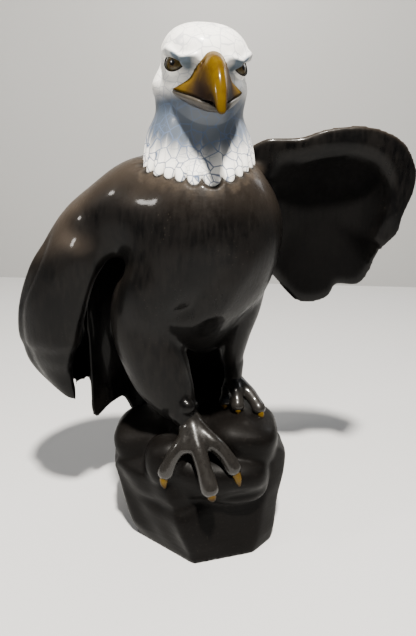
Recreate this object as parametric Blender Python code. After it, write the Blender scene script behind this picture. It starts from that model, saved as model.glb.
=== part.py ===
"""Glazed ceramic bald eagle on a rock, modelled for Blender 4.5.

Metres, +Z up, the bird's breast towards -Y. The origin lies on the flat underside of the rock.
Station tables are in millimetres: each row is a centre and its half sizes, from one end of a
form to the other, and MM turns them into metres.
The bird's own right is at -X and its own left at +X.
"""
import bmesh
import bpy
import numpy as np

MM = 0.001
GAP = 0.0003                      # clearance that parted pieces keep
MERGE = 0.00002                   # points of two faces nearer than this are one

# Driving dimensions, mm
HEAD_CENTRE = (-9.0, -2.0, 358.0)
HEAD_YAW = 12.5                   # degrees that the bill points towards +X
CROWN_RADII = (40.5, 38.0, 32.0, 29.5, 34.0)    # front, back, side, up, down
FACE_RADII = (35.5, 37.0, 27.0, 28.0, 33.0)
HEAD_SQUARENESS = 2.45            # superellipsoid power in front, 2 is round
HEAD_ROUNDNESS = 2.05             # and behind
EYE_PLACE = (18.6, 18.0, 1.8)     # forward, aside and up from the head's centre
EYE_RADIUS = 8.0
COLLAR_LOBES = 15                 # pointed feather ends round the white collar
COLLAR_PROUD = 2.0                # how far the collar stands off the breast
NECK_FOOT = (-9.0, 4.0, 284.0)    # the neck's lowest point, hidden in the trunk
SKIRT_TUCK = 0.72                 # how far in the collar's underside runs, as a part of its radius
ROCK_CENTRE = (0.0, 6.0, 0.0)
TOE_SQUASH = 0.88                 # height of a toe as a part of its width

# Rings or rows, and sides or columns, of each form
EYE_GRID = (7, 12)
BILL_UPPER_GRID = (9, 12)
BILL_LOWER_GRID = (5, 10)
HEAD_GRID = (15, 24)
NECK_GRID = (4, 3 * COLLAR_LOBES)
TRUNK_GRID = (10, 22)
LEG_RIGHT_GRID = (7, 14)
LEG_LEFT_GRID = (6, 13)
SHELL_GRID = (11, 12)
INNER_GRID = (9, 5)
REAR_GRID = (4, 4)
ARM_RIGHT_GRID = (6, 12)
RAISED_GRID = (6, 34)
ARM_LEFT_GRID = (4, 10)
TAIL_GRID = (9, 6)
TOE_GRID = (4, 8)
TALON_GRID = (3, 6)
ROCK_GRID = (10, 26)

# Colours, linear RGB, with roughness
GLAZE_DARK = ((0.030, 0.024, 0.020), 0.28)
GLAZE_WHITE = ((0.86, 0.84, 0.80), 0.22)
GLAZE_OCHRE = ((0.46, 0.27, 0.035), 0.25)
GLAZE_HORN = ((0.10, 0.075, 0.045), 0.30)
GLAZE_EYE = ((0.16, 0.095, 0.025), 0.15)

# Rows of x, y, z, half width, half depth
TRUNK = [
    (-9, 6, 318, 25, 27), (-9, 5, 303, 37, 38), (-8, 4, 287, 49, 47), (-7, -2, 260, 60, 54),
    (-8, 0, 232, 57, 55), (-12, 6, 210, 48, 50), (-11, 16, 192, 39, 41), (-7, 28, 175, 31, 31),
    (-4, 39, 158, 20, 19),
]
NECK = [
    (-9.5, 4, 302, 38, 39), (-10.5, 3, 311, 37, 38), (-10.5, 2.5, 320, 35.5, 36.5), (-11, 2, 333, 31.5, 33),
    (-10, 0.5, 347, 31, 31), (-10, 0, 356, 26, 27),
]
LEG_RIGHT = [
    (-34, 2, 226, 25, 28), (-44, -7, 200, 29, 31), (-46, -13, 180, 27, 29), (-41, -16, 160, 25, 26),
    (-34.5, -18, 143, 23, 22), (-27, -19.5, 128, 19, 17), (-21.5, -19, 117, 15, 12.5),
]
LEG_LEFT = [
    (20, 6, 216, 26, 28), (22, 9, 194, 20, 23), (21.5, 12, 172, 14, 17), (20.5, 14, 152, 10.5, 13),
    (22.5, 16, 134, 7, 8.5),
]
ARM_RIGHT = [
    (-26, 4, 284, 26, 25), (-50, 0, 278, 33, 27.5), (-72, 3, 264, 30, 26), (-90, 8, 252, 27, 25),
    (-106, 12, 235, 24, 22), (-118, 17, 213, 16, 15),
]
ARM_LEFT = [
    (6, 24, 276, 22, 20), (28, 35, 287, 19, 14), (46, 40, 298, 13, 10), (62, 38, 305, 10, 8),
]

# Plan arcs of the drooping wing's shell by height: z, arc centre x, y, radius x, y
SHELL_ARCS = [
    (268, -74, 14, 22, 22), (252, -69, 14, 48, 40), (222, -74, 19, 62, 44), (184, -89, 24, 61, 41),
    (152, -100, 27, 50, 36), (134, -107, 27, 36, 28), (120, -109, 22, 20, 19.5), (108, -110, 14, 6, 11),
]
SHELL_FRONT = -82.0               # degrees of arc at the wing's leading edge
SHELL_REAR = 118.0
SHELL_THICK = 8.0
SHELL_ROLL = 5.0                  # extra thickness of the rolled leading edge

# Lower outline of the inner feathers of the drooping wing: place across, height
INNER_FOOT = [(0.0, 84), (0.08, 77), (0.30, 88), (0.53, 94), (0.70, 72), (1.0, 80)]
INNER_LEFT = (-103.0, 27.0)
INNER_RIGHT = (-54.0, 52.0)
INNER_TOP = 250.0

# Rear feathers of the drooping wing: x and y of the two sides, and height, above and below
REAR_TOP = (-129.0, 53.0, -103.0, 60.5, 168.0)
REAR_FOOT = (-124.0, 45.0, -104.5, 53.5, 109.0)
REAR_THICK = 6.0

# Outline of the raised wing seen from the front, x and z, anticlockwise from its tip
RAISED_OUTLINE = [
    (158, 284), (158, 300), (147, 319), (130, 328), (111, 331), (88, 328.5), (66, 323), (40, 322),
    (18, 306), (16, 270), (30, 238), (53.5, 211.5), (75, 188.5), (91, 185), (106, 190.5), (112.5, 202),
    (130, 202), (138, 213), (140, 237), (150, 252), (152.5, 266),
]
RAISED_CENTRE = (92.0, 264.0)
RAISED_HOLLOW_Y = 54.0
RAISED_RIM_Y = 28.0
RAISED_LEAN = 28.0                # how much farther back the lower rim lies than the upper one
RAISED_THICK = 9.0
RAISED_ROLL = 8.5

TAIL_TOP = (-2.0, 36.0, 190.0)
TAIL_FOOT = (-8.0, 76.0, 30.0)
TAIL_HALF_TOP = 20.0
TAIL_HALF_FOOT = 41.0
TAIL_THICK = 10.0

# Rock: outward normal x, y, z and distance from ROCK_CENTRE of each broken face
ROCK_FACES = [
    (0.27, -0.94, 0.20, 59), (-0.56, -0.82, -0.11, 56.5), (-0.93, -0.20, -0.30, 57.5),
    (-0.85, 0.00, 0.50, 97), (-0.28, -0.16, 0.95, 97.5), (0.00, -0.75, 0.66, 92.5),
    (-0.40, -0.66, 0.64, 90), (0.98, -0.10, -0.10, 61), (0.72, 0.10, 0.69, 97),
    (0.72, -0.68, 0.05, 65), (0.10, 0.50, 0.86, 104), (0.05, 0.99, 0.06, 61),
    (-0.66, 0.74, 0.08, 71), (0.70, 0.71, -0.05, 64),
]
ROCK_EDGE = 0.020                 # softness of the rock's edges, as a part of its size
BOULDERS = [                      # centre and radii, mm
    ((-30, -21, 72), (21, 21, 17)), ((2, -38, 60), (30, 27, 26)),
]

# Toes: rows of x, y, z, radius, then the talon's last point
TOES_RIGHT = {
    "outer": ([(-15, -28, 111, 8.5), (-21, -38, 101, 7.0), (-27, -45, 89, 6.8), (-30, -49, 77, 6.0)],
              (-29.5, -54, 67)),
    "middle": ([(-12, -29, 111, 9), (-8, -40, 102, 7.8), (-1.5, -53, 87, 7.4), (5, -62.5, 72, 6.4)],
               (8, -66, 62)),
    "inner": ([(-9, -28, 110, 8.5), (3, -37, 103, 7.4), (14, -44, 92, 7.0), (22, -48, 82, 6.0)],
              (27, -52, 69)),
    "hind": ([(-13, -19, 105, 8.5), (-13, -5, 105.5, 6.4), (-12, 7, 105, 5.2)], (-12, 15, 101)),
}
TOES_LEFT = {
    "outer": ([(24, 16, 127, 6.5), (33, 9, 120, 6.0), (40, 2, 114, 5.6), (44, -4, 109, 4.8)],
              (46, -9, 102)),
    "middle": ([(22, 14, 127, 7), (24, 5, 122, 6.2), (25.5, -1, 117, 5.6), (26, -6, 112, 4.8)],
               (26.5, -10, 107)),
    "inner": ([(20, 16, 125, 6), (18, 10, 121, 5.4), (17, 6, 117, 5.0), (16, 1, 112, 4.4)],
              (15.5, -3, 108)),
    "hind": ([(23, 20, 125, 6.5), (25, 31, 116, 5.6), (26, 39, 110, 4.8)], (27, 46, 103)),
}

# Bill, in the head's own forward and up: forward, up, half width high, half width low, half height
BILL_UPPER = [
    (20, -4, 7, 21, 10.5), (30, -4, 8.5, 18.5, 11), (39, -4.2, 9.6, 13.4, 11.2), (46, -6.5, 9.4, 10.6, 10.2),
    (52, -11, 8.2, 8.8, 8.6), (56.8, -17, 6.2, 6.8, 6.2), (60.4, -23.4, 4.2, 4.6, 4.0),
    (63, -29.4, 1.9, 2.1, 1.6),
]
BILL_LOWER = [
    (20, -17.5, 16, 16, 4.4), (32, -19.5, 14.5, 13, 5.0), (42, -22, 10.5, 9, 4.6), (50, -24.2, 7.0, 5.5, 3.4),
]


def smooth_rows(rows, count, closed=False):
    """Rows read off one smooth curve (Catmull-Rom) through the given rows."""
    rows = np.asarray(rows, float)
    if closed:
        padded = np.vstack([rows[-1:], rows, rows[:2]])
        place = np.linspace(0, len(rows), count, endpoint=False)
    else:
        padded = np.vstack([2 * rows[:1] - rows[1:2], rows, 2 * rows[-1:] - rows[-2:-1]])
        place = np.linspace(0, len(rows) - 1, count)
    first = np.minimum(place.astype(int), len(padded) - 4)
    part = (place - first)[:, None]
    a, b, c, d = (padded[first + step] for step in range(4))
    return b + 0.5 * part * (c - a + part * (2 * a - 5 * b + 4 * c - d + part * (3 * (b - c) + d - a)))


def unit(vectors):
    """Vectors of length one."""
    return vectors / np.linalg.norm(vectors, axis=-1, keepdims=True)


def smooth_step(value):
    """Zero below 0, one above 1, with a soft rise between."""
    value = np.clip(value, 0.0, 1.0)
    return value * value * (3.0 - 2.0 * value)


def head_frame():
    """Rows of the head's forward, aside and up directions."""
    yaw = np.radians(HEAD_YAW)
    return np.array([[np.sin(yaw), -np.cos(yaw), 0.0], [np.cos(yaw), np.sin(yaw), 0.0], [0.0, 0.0, 1.0]])


def from_head(points):
    """Points given forward, aside and up from the head's centre, in the statue's frame."""
    return np.asarray(HEAD_CENTRE) + np.asarray(points, float) @ head_frame()


def closed_mesh(name, rings):
    """Mesh of a stack of rings; the first and last rings are single points repeated."""
    count, sides = rings.shape[:2]
    mesh = bpy.data.meshes.new(name)
    build = bmesh.new()
    poles = [build.verts.new(rings[0, 0] * MM), build.verts.new(rings[-1, 0] * MM)]
    loops = [[build.verts.new(point * MM) for point in ring] for ring in rings[1:-1]]
    for side in range(sides):
        following = (side + 1) % sides
        build.faces.new((poles[0], loops[0][side], loops[0][following]))
        build.faces.new((poles[1], loops[-1][following], loops[-1][side]))
        for lower, upper in zip(loops, loops[1:]):
            build.faces.new((lower[side], upper[side], upper[following], lower[following]))
    bmesh.ops.recalc_face_normals(build, faces=build.faces)
    bmesh.ops.triangulate(build, faces=build.faces)
    build.to_mesh(mesh)
    build.free()
    return mesh


def blade_mesh(name, front, back):
    """Mesh of two grids that meet all round their edges."""
    rows, columns = front.shape[:2]
    mesh = bpy.data.meshes.new(name)
    build = bmesh.new()
    for grid in (front, back):
        verts = [[build.verts.new(point * MM) for point in row] for row in grid]
        for row in range(rows - 1):
            for column in range(columns - 1):
                corners = [verts[row][column], verts[row + 1][column],
                           verts[row + 1][column + 1], verts[row][column + 1]]
                at_end = row in (0, rows - 2) and column in (0, columns - 2)
                if at_end:
                    # split through the grid's own corner, so that the two faces share no triangle
                    turn = 0 if (row == 0) == (column == 0) else 1
                    corners = corners[turn:] + corners[:turn]
                    build.faces.new(corners[:3])
                    build.faces.new([corners[0], corners[2], corners[3]])
                else:
                    build.faces.new(corners)
    bmesh.ops.remove_doubles(build, verts=build.verts, dist=MERGE)
    bmesh.ops.recalc_face_normals(build, faces=build.faces)
    if build.calc_volume(signed=True) < 0:
        bmesh.ops.reverse_faces(build, faces=build.faces)
    bmesh.ops.triangulate(build, faces=build.faces)
    build.to_mesh(mesh)
    build.free()
    return mesh


def tube(stations, count, sides, aside=(1.0, 0.0, 0.0), depth=0.6):
    """Rings of an oval section carried along a smooth path, with rounded ends."""
    rows = smooth_rows(stations, count)
    centre, wide, deep = rows[:, :3], rows[:, 3], rows[:, 4]
    along = unit(np.gradient(centre, axis=0))
    across = unit(np.asarray(aside) - (along @ np.asarray(aside))[:, None] * along)
    turn = np.radians([90.0, 45.0])
    ends = []
    for end, sign in ((0, -1.0), (-1, 1.0)):
        reach = depth * min(wide[end], deep[end])
        place = centre[end] + sign * reach * np.sin(turn)[:, None] * along[end]
        ends.append((place, np.cos(turn) * wide[end], np.cos(turn) * deep[end]))
    centre = np.vstack([ends[0][0], centre, ends[1][0][::-1]])
    wide = np.hstack([ends[0][1], wide, ends[1][1][::-1]])
    deep = np.hstack([ends[0][2], deep, ends[1][2][::-1]])
    across = np.vstack([across[:1]] * 2 + [across] + [across[-1:]] * 2)
    along = np.vstack([along[:1]] * 2 + [along] + [along[-1:]] * 2)
    normal = np.cross(along, across)
    angle = np.linspace(0, 2 * np.pi, sides, endpoint=False)
    return (centre[:, None] + (wide[:, None] * np.cos(angle))[..., None] * across[:, None]
            + (deep[:, None] * np.sin(angle))[..., None] * normal[:, None])


def ball_directions(count, sides):
    """Unit directions over a ball, pole to pole."""
    polar = np.linspace(0, np.pi, count)[:, None]
    around = np.linspace(0, 2 * np.pi, sides, endpoint=False)[None]
    return np.stack([np.sin(polar) * np.cos(around), np.sin(polar) * np.sin(around),
                     np.cos(polar) * np.ones_like(around)], -1)


def oval_reach(way, radii):
    """Reach of a superellipsoid with unlike front, back, side, up and down radii, rounder behind."""
    front, back, side, high, low = radii
    power = HEAD_ROUNDNESS + (HEAD_SQUARENESS - HEAD_ROUNDNESS) * smooth_step(0.5 + way[..., 0])
    length = np.where(way[..., 0] > 0, front, back)
    height = np.where(way[..., 2] > 0, high, low)
    total = (np.abs(way[..., 0] / length) ** power + np.abs(way[..., 1] / side) ** power
             + np.abs(way[..., 2] / height) ** power)
    return total ** (-1.0 / power)


def bump(way, turn, rise, spread):
    """Bell centred on a direction given by its turn aside and its rise, both in degrees."""
    turn, rise = np.radians(turn), np.radians(rise)
    aim = np.array([np.cos(turn) * np.cos(rise), np.sin(turn) * np.cos(rise), np.sin(rise)])
    folded = np.stack([way[..., 0], np.abs(way[..., 1]), way[..., 2]], -1)
    away = np.degrees(np.arccos(np.clip(folded @ aim, -1, 1)))
    return np.exp(-(away / spread) ** 2)


def head_reach(way):
    """Distance from the head's centre to its skin: crown and face, parted by the brow's ledge."""
    turn = np.degrees(np.arctan2(np.abs(way[..., 1]), way[..., 0]))
    rise = np.degrees(np.arcsin(np.clip(way[..., 2], -1, 1)))
    brow = 3.0 + 0.29 * (np.minimum(turn, 78.0) - 17.0)
    behind = smooth_step((turn - 62.0) / 50.0)
    ledge = smooth_step(0.5 + (rise - brow) / (5.0 + 60.0 * behind))
    low = oval_reach(way, FACE_RADII)
    high = oval_reach(way, CROWN_RADII)
    reach = low + (high - low) * ledge
    reach -= 3.6 * bump(way, 42, -1, 15)
    reach -= 3.4 * bump(way, 22, -4, 12)
    reach += 3.0 * bump(way, 85, -22, 30)
    reach += 9.0 * bump(way, 0, -40, 26)
    return reach


def head_rings(count, sides):
    """Rings of the head, from the crown down."""
    way = ball_directions(count, sides)
    return from_head(way * head_reach(way)[..., None])


def bill_rings(rows, count, sides):
    """Rings of a bill half: an oval, wider low than high, carried along its curve."""
    rows = smooth_rows(rows, count)
    spine, high, low, tall = rows[:, :2], rows[:, 2], rows[:, 3], rows[:, 4]
    along = unit(np.gradient(spine, axis=0))
    upright = np.stack([-along[:, 1], along[:, 0]], -1)
    angle = np.linspace(0, 2 * np.pi, sides, endpoint=False)
    level = 0.5 - 0.5 * np.cos(angle)
    width = high[:, None] + (low - high)[:, None] * level ** 1.3
    profile = spine[:, None] + (tall[:, None] * np.cos(angle))[..., None] * upright[:, None]
    rings = np.stack([profile[..., 0], width * np.sin(angle), profile[..., 1]], -1)
    first = np.repeat(rings[:1].mean(1, keepdims=True), sides, 1)
    tip = np.repeat(rings[-1:].mean(1, keepdims=True), sides, 1)
    tip[..., 0] += along[-1, 0] * tall[-1]
    tip[..., 2] += along[-1, 1] * tall[-1]
    return from_head(np.concatenate([first, rings, tip]))


def collar_height(angle):
    """Height of the collar's edge: lowest on the breast, with pointed lobes all round."""
    front = 0.5 - 0.5 * np.sin(angle)
    lobes = np.abs(np.sin(0.5 * COLLAR_LOBES * angle)) ** 0.7
    drop = np.clip(2.0 * front - 1.0, 0.0, 1.0) ** 1.4
    return 308.5 - 16.0 * drop - 4.0 * lobes


def trunk_section(height):
    """Centre and half sizes of the trunk at each height."""
    table = smooth_rows(TRUNK, 200)[::-1]
    return [np.interp(height, table[:, 2], table[:, column]) for column in (0, 1, 3, 4)]


def neck_rings(count, sides):
    """Rings of the neck, from a foot inside the trunk, out under the collar and up into the head."""
    angle = np.linspace(0, 2 * np.pi, sides, endpoint=False)
    edge = collar_height(angle)
    x, y, wide, deep = trunk_section(edge)
    skirt = np.stack([x + (wide + COLLAR_PROUD) * np.cos(angle),
                      y + (deep + COLLAR_PROUD) * np.sin(angle), edge], -1)
    core = np.array(NECK_FOOT)
    inside = core + (skirt - core) * [SKIRT_TUCK, SKIRT_TUCK, 1.0]
    upper = tube(NECK, count, sides)[2:]
    lift = np.linspace(0, 1, count)[:, None, None]
    rising = upper[:count].copy()
    rising += (1 - lift) ** 3 * (skirt + [0, 0, 2.5] - upper[0])
    foot = np.repeat(core[None, None], sides, 1)
    return np.concatenate([foot, inside[None], skirt[None], rising, upper[count:]])


def shell_grids(columns, rows):
    """Outer and inner faces of the drooping wing: plan arcs stacked by height."""
    across = 0.5 - 0.5 * np.cos(np.linspace(0, np.pi, columns))
    down = np.linspace(0, 1, rows)
    arcs = smooth_rows(SHELL_ARCS, rows)
    bend = np.radians(SHELL_FRONT + (SHELL_REAR - SHELL_FRONT) * across)[None]
    height, x, y, wide, deep = (arcs[:, column][:, None] for column in range(5))
    edge = np.sqrt(1 - (2 * across - 1) ** 8)[None] * np.sqrt(1 - (2 * down - 1) ** 12)[:, None]
    roll = np.exp(-(across / 0.16) ** 2)[None]
    half = 0.5 * edge * (SHELL_THICK + SHELL_ROLL * roll) * smooth_step(0.25 + wide / 36)
    rear = smooth_step((across - 0.35) / 0.5)[None]
    lift = rear * smooth_step((170 - height) / 60) * 10
    faces = []
    for sign in (1, -1):
        faces.append(np.stack([x - (wide + sign * half) * np.cos(bend),
                               y + (deep + sign * half) * np.sin(bend), height + lift + 0 * bend], -1))
    return faces


def inner_grids(columns, rows):
    """Faces of the inner feathers of the drooping wing, hanging to a pointed lower edge."""
    across = 0.5 - 0.5 * np.cos(np.linspace(0, np.pi, columns))[None]
    down = np.linspace(0, 1, rows)[:, None]
    table = np.array(INNER_FOOT)
    foot = np.interp(across, table[:, 0], table[:, 1])
    height = INNER_TOP + (foot - INNER_TOP) * down
    edge = np.sqrt(1 - (2 * across - 1) ** 8) * np.sqrt(1 - (2 * down - 1) ** 12)
    x = INNER_LEFT[0] + (INNER_RIGHT[0] - INNER_LEFT[0]) * across
    y = INNER_LEFT[1] + (INNER_RIGHT[1] - INNER_LEFT[1]) * across + 6 * np.sin(np.pi * across)
    return [np.stack([x + 0 * down, y + sign * 4.5 * edge, height], -1) for sign in (-1, 1)]


def rear_grids(columns, rows):
    """Front and back faces of the rear feathers, a short sheet below the drooping wing's rear edge."""
    across = np.linspace(0, 1, columns)[None, :, None]
    down = np.linspace(0, 1, rows)[:, None, None]
    top, foot = np.array(REAR_TOP), np.array(REAR_FOOT)
    above = np.array([top[0], top[1], top[4]]) + across * [top[2] - top[0], top[3] - top[1], 0]
    below = np.array([foot[0], foot[1], foot[4]]) + across * [foot[2] - foot[0], foot[3] - foot[1], 0]
    middle = above + down * (below - above)
    half = 0.5 * REAR_THICK * np.sqrt(1 - (2 * across - 1) ** 8) * np.sqrt(1 - (2 * down - 1) ** 12)
    return [middle + sign * half * [0, 1, 0] for sign in (-1, 1)]


def tail_grids(columns, rows):
    """Faces of the tail: a fan that widens and thins to a scalloped foot."""
    across = np.linspace(-1, 1, columns)[None]
    down = np.linspace(0, 1, rows)[:, None]
    half_width = TAIL_HALF_TOP + (TAIL_HALF_FOOT - TAIL_HALF_TOP) * down ** 0.8
    edge = np.sqrt(1 - across ** 8) * np.sqrt(1 - (2 * down - 1) ** 12)
    top, foot = np.array(TAIL_TOP), np.array(TAIL_FOOT)
    scallop = 3 * np.abs(np.cos(2.5 * np.pi * across)) + 16 * across ** 4
    x = top[0] + (foot[0] - top[0]) * down + half_width * across
    y = top[1] + (foot[1] - top[1]) * down ** 0.7 - 9 * across ** 2 * down
    z = top[2] + (foot[2] + scallop - top[2]) * down
    half = edge * (TAIL_THICK - 4 * down) * 0.5
    return [np.stack([x, y + sign * half, z + 0 * across], -1) for sign in (-1, 1)]


def raised_rings(count, sides):
    """Rings of the raised wing: its outline drawn in towards the hollow, front face then back."""
    outline = smooth_rows(RAISED_OUTLINE, sides, closed=True)
    centre = np.array(RAISED_CENTRE)
    part = np.sin(np.linspace(0, 0.5 * np.pi, count))
    part = np.hstack([part, part[-2::-1]])[:, None]
    front = np.where(np.arange(2 * count - 1) < count, -1.0, 1.0)[:, None]
    plan = centre + part[..., None] * (outline - centre)
    around = unit(outline - centre)
    leading = smooth_step((around @ np.array([0.45, 0.89]) + 0.15) / 0.7)[None]
    upper = smooth_step((around @ np.array([0.45, 0.89]) + 0.55) / 0.7)
    rim = RAISED_RIM_Y + RAISED_LEAN * (1 - upper) * smooth_step((around[:, 0] + 0.9) / 0.6)
    y = RAISED_HOLLOW_Y + (rim - RAISED_HOLLOW_Y) * part ** 2.4
    edge = np.sqrt(np.clip(1 - part ** 10, 0, 1))
    half = 0.5 * RAISED_THICK * edge
    roll = RAISED_ROLL * leading * np.exp(-((part - 0.80) / 0.17) ** 2) * edge
    y = y + front * half + np.where(front < 0, -roll, 0.2 * roll)
    return np.stack([plan[..., 0], y, plan[..., 1]], -1)


def rock_reach(way):
    """Distance from the rock's centre to its face: many broken planes, softly joined, and boulders."""
    faces = np.array(ROCK_FACES)
    facing = way @ unit(faces[:, :3]).T
    closeness = facing / faces[:, 3]
    peak = closeness.max(-1, keepdims=True)
    soft = ROCK_EDGE * peak
    reach = 1.0 / (peak + soft * np.log(np.exp((closeness - peak) / soft).sum(-1, keepdims=True)))[..., 0]
    for centre, radii in BOULDERS:
        offset = (np.array(centre) - np.array(ROCK_CENTRE)) / radii
        spread = way / radii
        square, cross = (spread ** 2).sum(-1), spread @ offset
        inside = cross ** 2 - square * ((offset ** 2).sum() - 1)
        hit = (cross + np.sqrt(np.maximum(inside, 0))) / square
        reach = np.where(inside > 0, np.maximum(reach, hit), reach)
    return reach


def rock_rings(count, sides):
    """Rings of the rock, from its top to the rim of its flat underside, and the underside's centre."""
    way = ball_directions(2 * count - 1, sides)[:count]
    way[-1, :, 2] = 0.0
    return np.asarray(ROCK_CENTRE) + np.concatenate([way * rock_reach(way)[..., None], 0 * way[:1]])


def toe_stations(rows):
    """Stations of a toe, a little flatter than round."""
    return [(x, y, z, radius, radius * TOE_SQUASH) for x, y, z, radius in rows]


def talon_stations(rows, tip):
    """Stations of a talon, curving down from the toe's end to a point."""
    end = np.array(rows[-1][:3], float)
    radius = rows[-1][3]
    before = np.array(rows[-2][:3], float)
    tip = np.array(tip, float)
    start = end + 0.12 * (end - before)
    middle = 0.5 * (start + tip) + 0.10 * (end - before)
    sizes = (0.62 * radius, 0.46 * radius, 0.16 * radius)
    return [(*place, size, size) for place, size in zip((start, middle, tip), sizes)]


def make_material(name, finish):
    """Glaze of one colour."""
    colour, roughness = finish
    material = bpy.data.materials.new(name)
    material.use_nodes = True
    shader = material.node_tree.nodes["Principled BSDF"]
    shader.inputs["Base Color"].default_value = (*colour, 1.0)
    shader.inputs["Roughness"].default_value = roughness
    shader.inputs["Metallic"].default_value = 0.0
    return material


def place_object(name, mesh, collection):
    """Object of a mesh in a collection."""
    piece = bpy.data.objects.new(name, mesh)
    collection.objects.link(piece)
    return piece


def as_cutter(piece, cutters, growth=GAP):
    """Hidden copy of a piece, grown along its normals, for cutting its neighbours."""
    mesh = piece.data.copy()
    points = np.array([v.co for v in mesh.vertices])
    normals = np.array([v.normal for v in mesh.vertices])
    mesh.vertices.foreach_set("co", (points + growth * normals).ravel())
    cutter = place_object("cut_" + piece.name, mesh, cutters)
    cutter.hide_render = True
    cutter.display_type = "WIRE"
    return cutter


def boolean(piece, other, operation):
    """Exact Boolean of a piece with another object."""
    step = piece.modifiers.new(operation.lower() + "_" + other.name, "BOOLEAN")
    step.operation = operation
    step.solver = "EXACT"
    step.object = other
    return step


def fuse(name, meshes, collection, cutters):
    """One object that joins several closed forms."""
    piece = place_object(name, meshes[0], collection)
    for number, mesh in enumerate(meshes[1:]):
        other = place_object("join_%s_%d" % (name, number), mesh, cutters)
        other.hide_render = True
        other.display_type = "WIRE"
        boolean(piece, other, "UNION")
    bpy.context.view_layer.update()
    evaluated = piece.evaluated_get(bpy.context.evaluated_depsgraph_get())
    joined = bpy.data.meshes.new_from_object(evaluated)
    piece.modifiers.clear()
    piece.data = joined
    return piece


def build_statue():
    """Every piece of the statue, in nodes that keep a thin gap to one another."""
    for old in list(bpy.data.objects):
        bpy.data.objects.remove(old)
    statue = bpy.data.collections.new("ceramic_bald_eagle")
    cutters = bpy.data.collections.new("cutters")
    for collection in (statue, cutters):
        bpy.context.scene.collection.children.link(collection)
    dark = make_material("dark_glaze", GLAZE_DARK)
    white = make_material("white_glaze", GLAZE_WHITE)
    ochre = make_material("ochre_glaze", GLAZE_OCHRE)
    horn = make_material("horn_glaze", GLAZE_HORN)
    amber = make_material("eye_glaze", GLAZE_EYE)
    made = {}

    def add(name, meshes, material, cut_by=()):
        """Piece of one or more closed forms, cut clear of the pieces already made."""
        piece = fuse(name, meshes, statue, cutters)
        piece.data.materials.clear()
        piece.data.materials.append(material)
        for other in cut_by:
            boolean(piece, made[other][1], "DIFFERENCE")
        piece.data.shade_smooth()
        made[name] = (piece, as_cutter(piece, cutters))

    for side, sign in (("right", -1), ("left", 1)):
        forward, aside, up = EYE_PLACE
        centre = from_head([(forward, sign * aside, up)])[0]
        add("eye_" + side, [closed_mesh("eye", centre + EYE_RADIUS * ball_directions(*EYE_GRID))], amber)
    add("bill_upper", [closed_mesh("bill_upper", bill_rings(BILL_UPPER, *BILL_UPPER_GRID))], ochre)
    add("bill_lower", [closed_mesh("bill_lower", bill_rings(BILL_LOWER, *BILL_LOWER_GRID))], horn,
        ["bill_upper"])
    add("head", [closed_mesh("head", head_rings(*HEAD_GRID))], white,
        ["eye_right", "eye_left", "bill_upper", "bill_lower"])
    add("neck", [closed_mesh("neck", neck_rings(*NECK_GRID))], white, ["head"])
    add("trunk", [closed_mesh("trunk", tube(TRUNK, *TRUNK_GRID))], dark, ["neck"])
    add("leg_right", [closed_mesh("leg", tube(LEG_RIGHT, *LEG_RIGHT_GRID))], dark, ["trunk"])
    add("leg_left", [closed_mesh("leg", tube(LEG_LEFT, *LEG_LEFT_GRID))], dark, ["trunk", "leg_right"])
    add("wing_right", [blade_mesh("shell", *shell_grids(*SHELL_GRID)),
                       blade_mesh("rear", *rear_grids(*REAR_GRID)),
                       closed_mesh("arm", tube(ARM_RIGHT, *ARM_RIGHT_GRID, (0, 1, 0)))], dark,
        ["trunk", "neck", "leg_right"])
    add("inner_feathers_right", [blade_mesh("inner", *inner_grids(*INNER_GRID))], dark,
        ["trunk", "leg_right", "wing_right"])
    add("wing_left", [closed_mesh("raised", raised_rings(*RAISED_GRID)),
                      closed_mesh("arm", tube(ARM_LEFT, *ARM_LEFT_GRID, (0, 1, 0)))], dark, ["trunk", "neck"])
    add("tail", [blade_mesh("tail", *tail_grids(*TAIL_GRID))], dark,
        ["trunk", "leg_left", "leg_right", "wing_right", "inner_feathers_right"])
    for side, toes in (("right", TOES_RIGHT), ("left", TOES_LEFT)):
        talons = []
        for toe, (rows, tip) in toes.items():
            talon = "talon_%s_%s" % (side, toe)
            add(talon, [closed_mesh("talon", tube(talon_stations(rows, tip), *TALON_GRID))], ochre)
            talons.append(talon)
        forms = [closed_mesh("toe", tube(toe_stations(rows), *TOE_GRID)) for rows, tip in toes.values()]
        add("foot_" + side, forms, dark, talons + ["leg_" + side])
    add("rock_base", [closed_mesh("rock", rock_rings(*ROCK_GRID))], dark,
        [name for name in made if name.startswith(("talon", "foot", "leg", "tail", "wing_right", "inner"))])


build_statue()
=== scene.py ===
"""Glazed ceramic bald eagle on its rock: the finished surfaces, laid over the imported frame.

Metres, +Z up, breast towards -Y. Station tables are in millimetres, and MM turns them into metres.
The bird's own right is at -X, its own left at +X.
"""

import bpy
import numpy as np
from mathutils import Euler, Matrix, Vector


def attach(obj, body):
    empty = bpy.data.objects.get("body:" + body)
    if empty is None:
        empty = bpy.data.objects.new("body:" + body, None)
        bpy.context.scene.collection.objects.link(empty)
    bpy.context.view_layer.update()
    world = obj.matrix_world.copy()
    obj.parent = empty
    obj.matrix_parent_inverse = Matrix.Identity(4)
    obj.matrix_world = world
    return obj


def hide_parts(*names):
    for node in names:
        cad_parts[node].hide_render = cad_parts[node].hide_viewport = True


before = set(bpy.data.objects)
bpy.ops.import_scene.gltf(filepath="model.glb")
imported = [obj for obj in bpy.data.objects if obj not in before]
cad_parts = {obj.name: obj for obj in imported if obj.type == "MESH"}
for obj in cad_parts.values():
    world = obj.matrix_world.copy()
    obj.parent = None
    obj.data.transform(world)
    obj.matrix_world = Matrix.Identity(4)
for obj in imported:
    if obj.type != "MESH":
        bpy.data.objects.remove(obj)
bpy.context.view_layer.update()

MM = 0.001
DEPTH_WAY = (0, 1, 0)  # the way in which the half widths of the arms and folds are given

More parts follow.
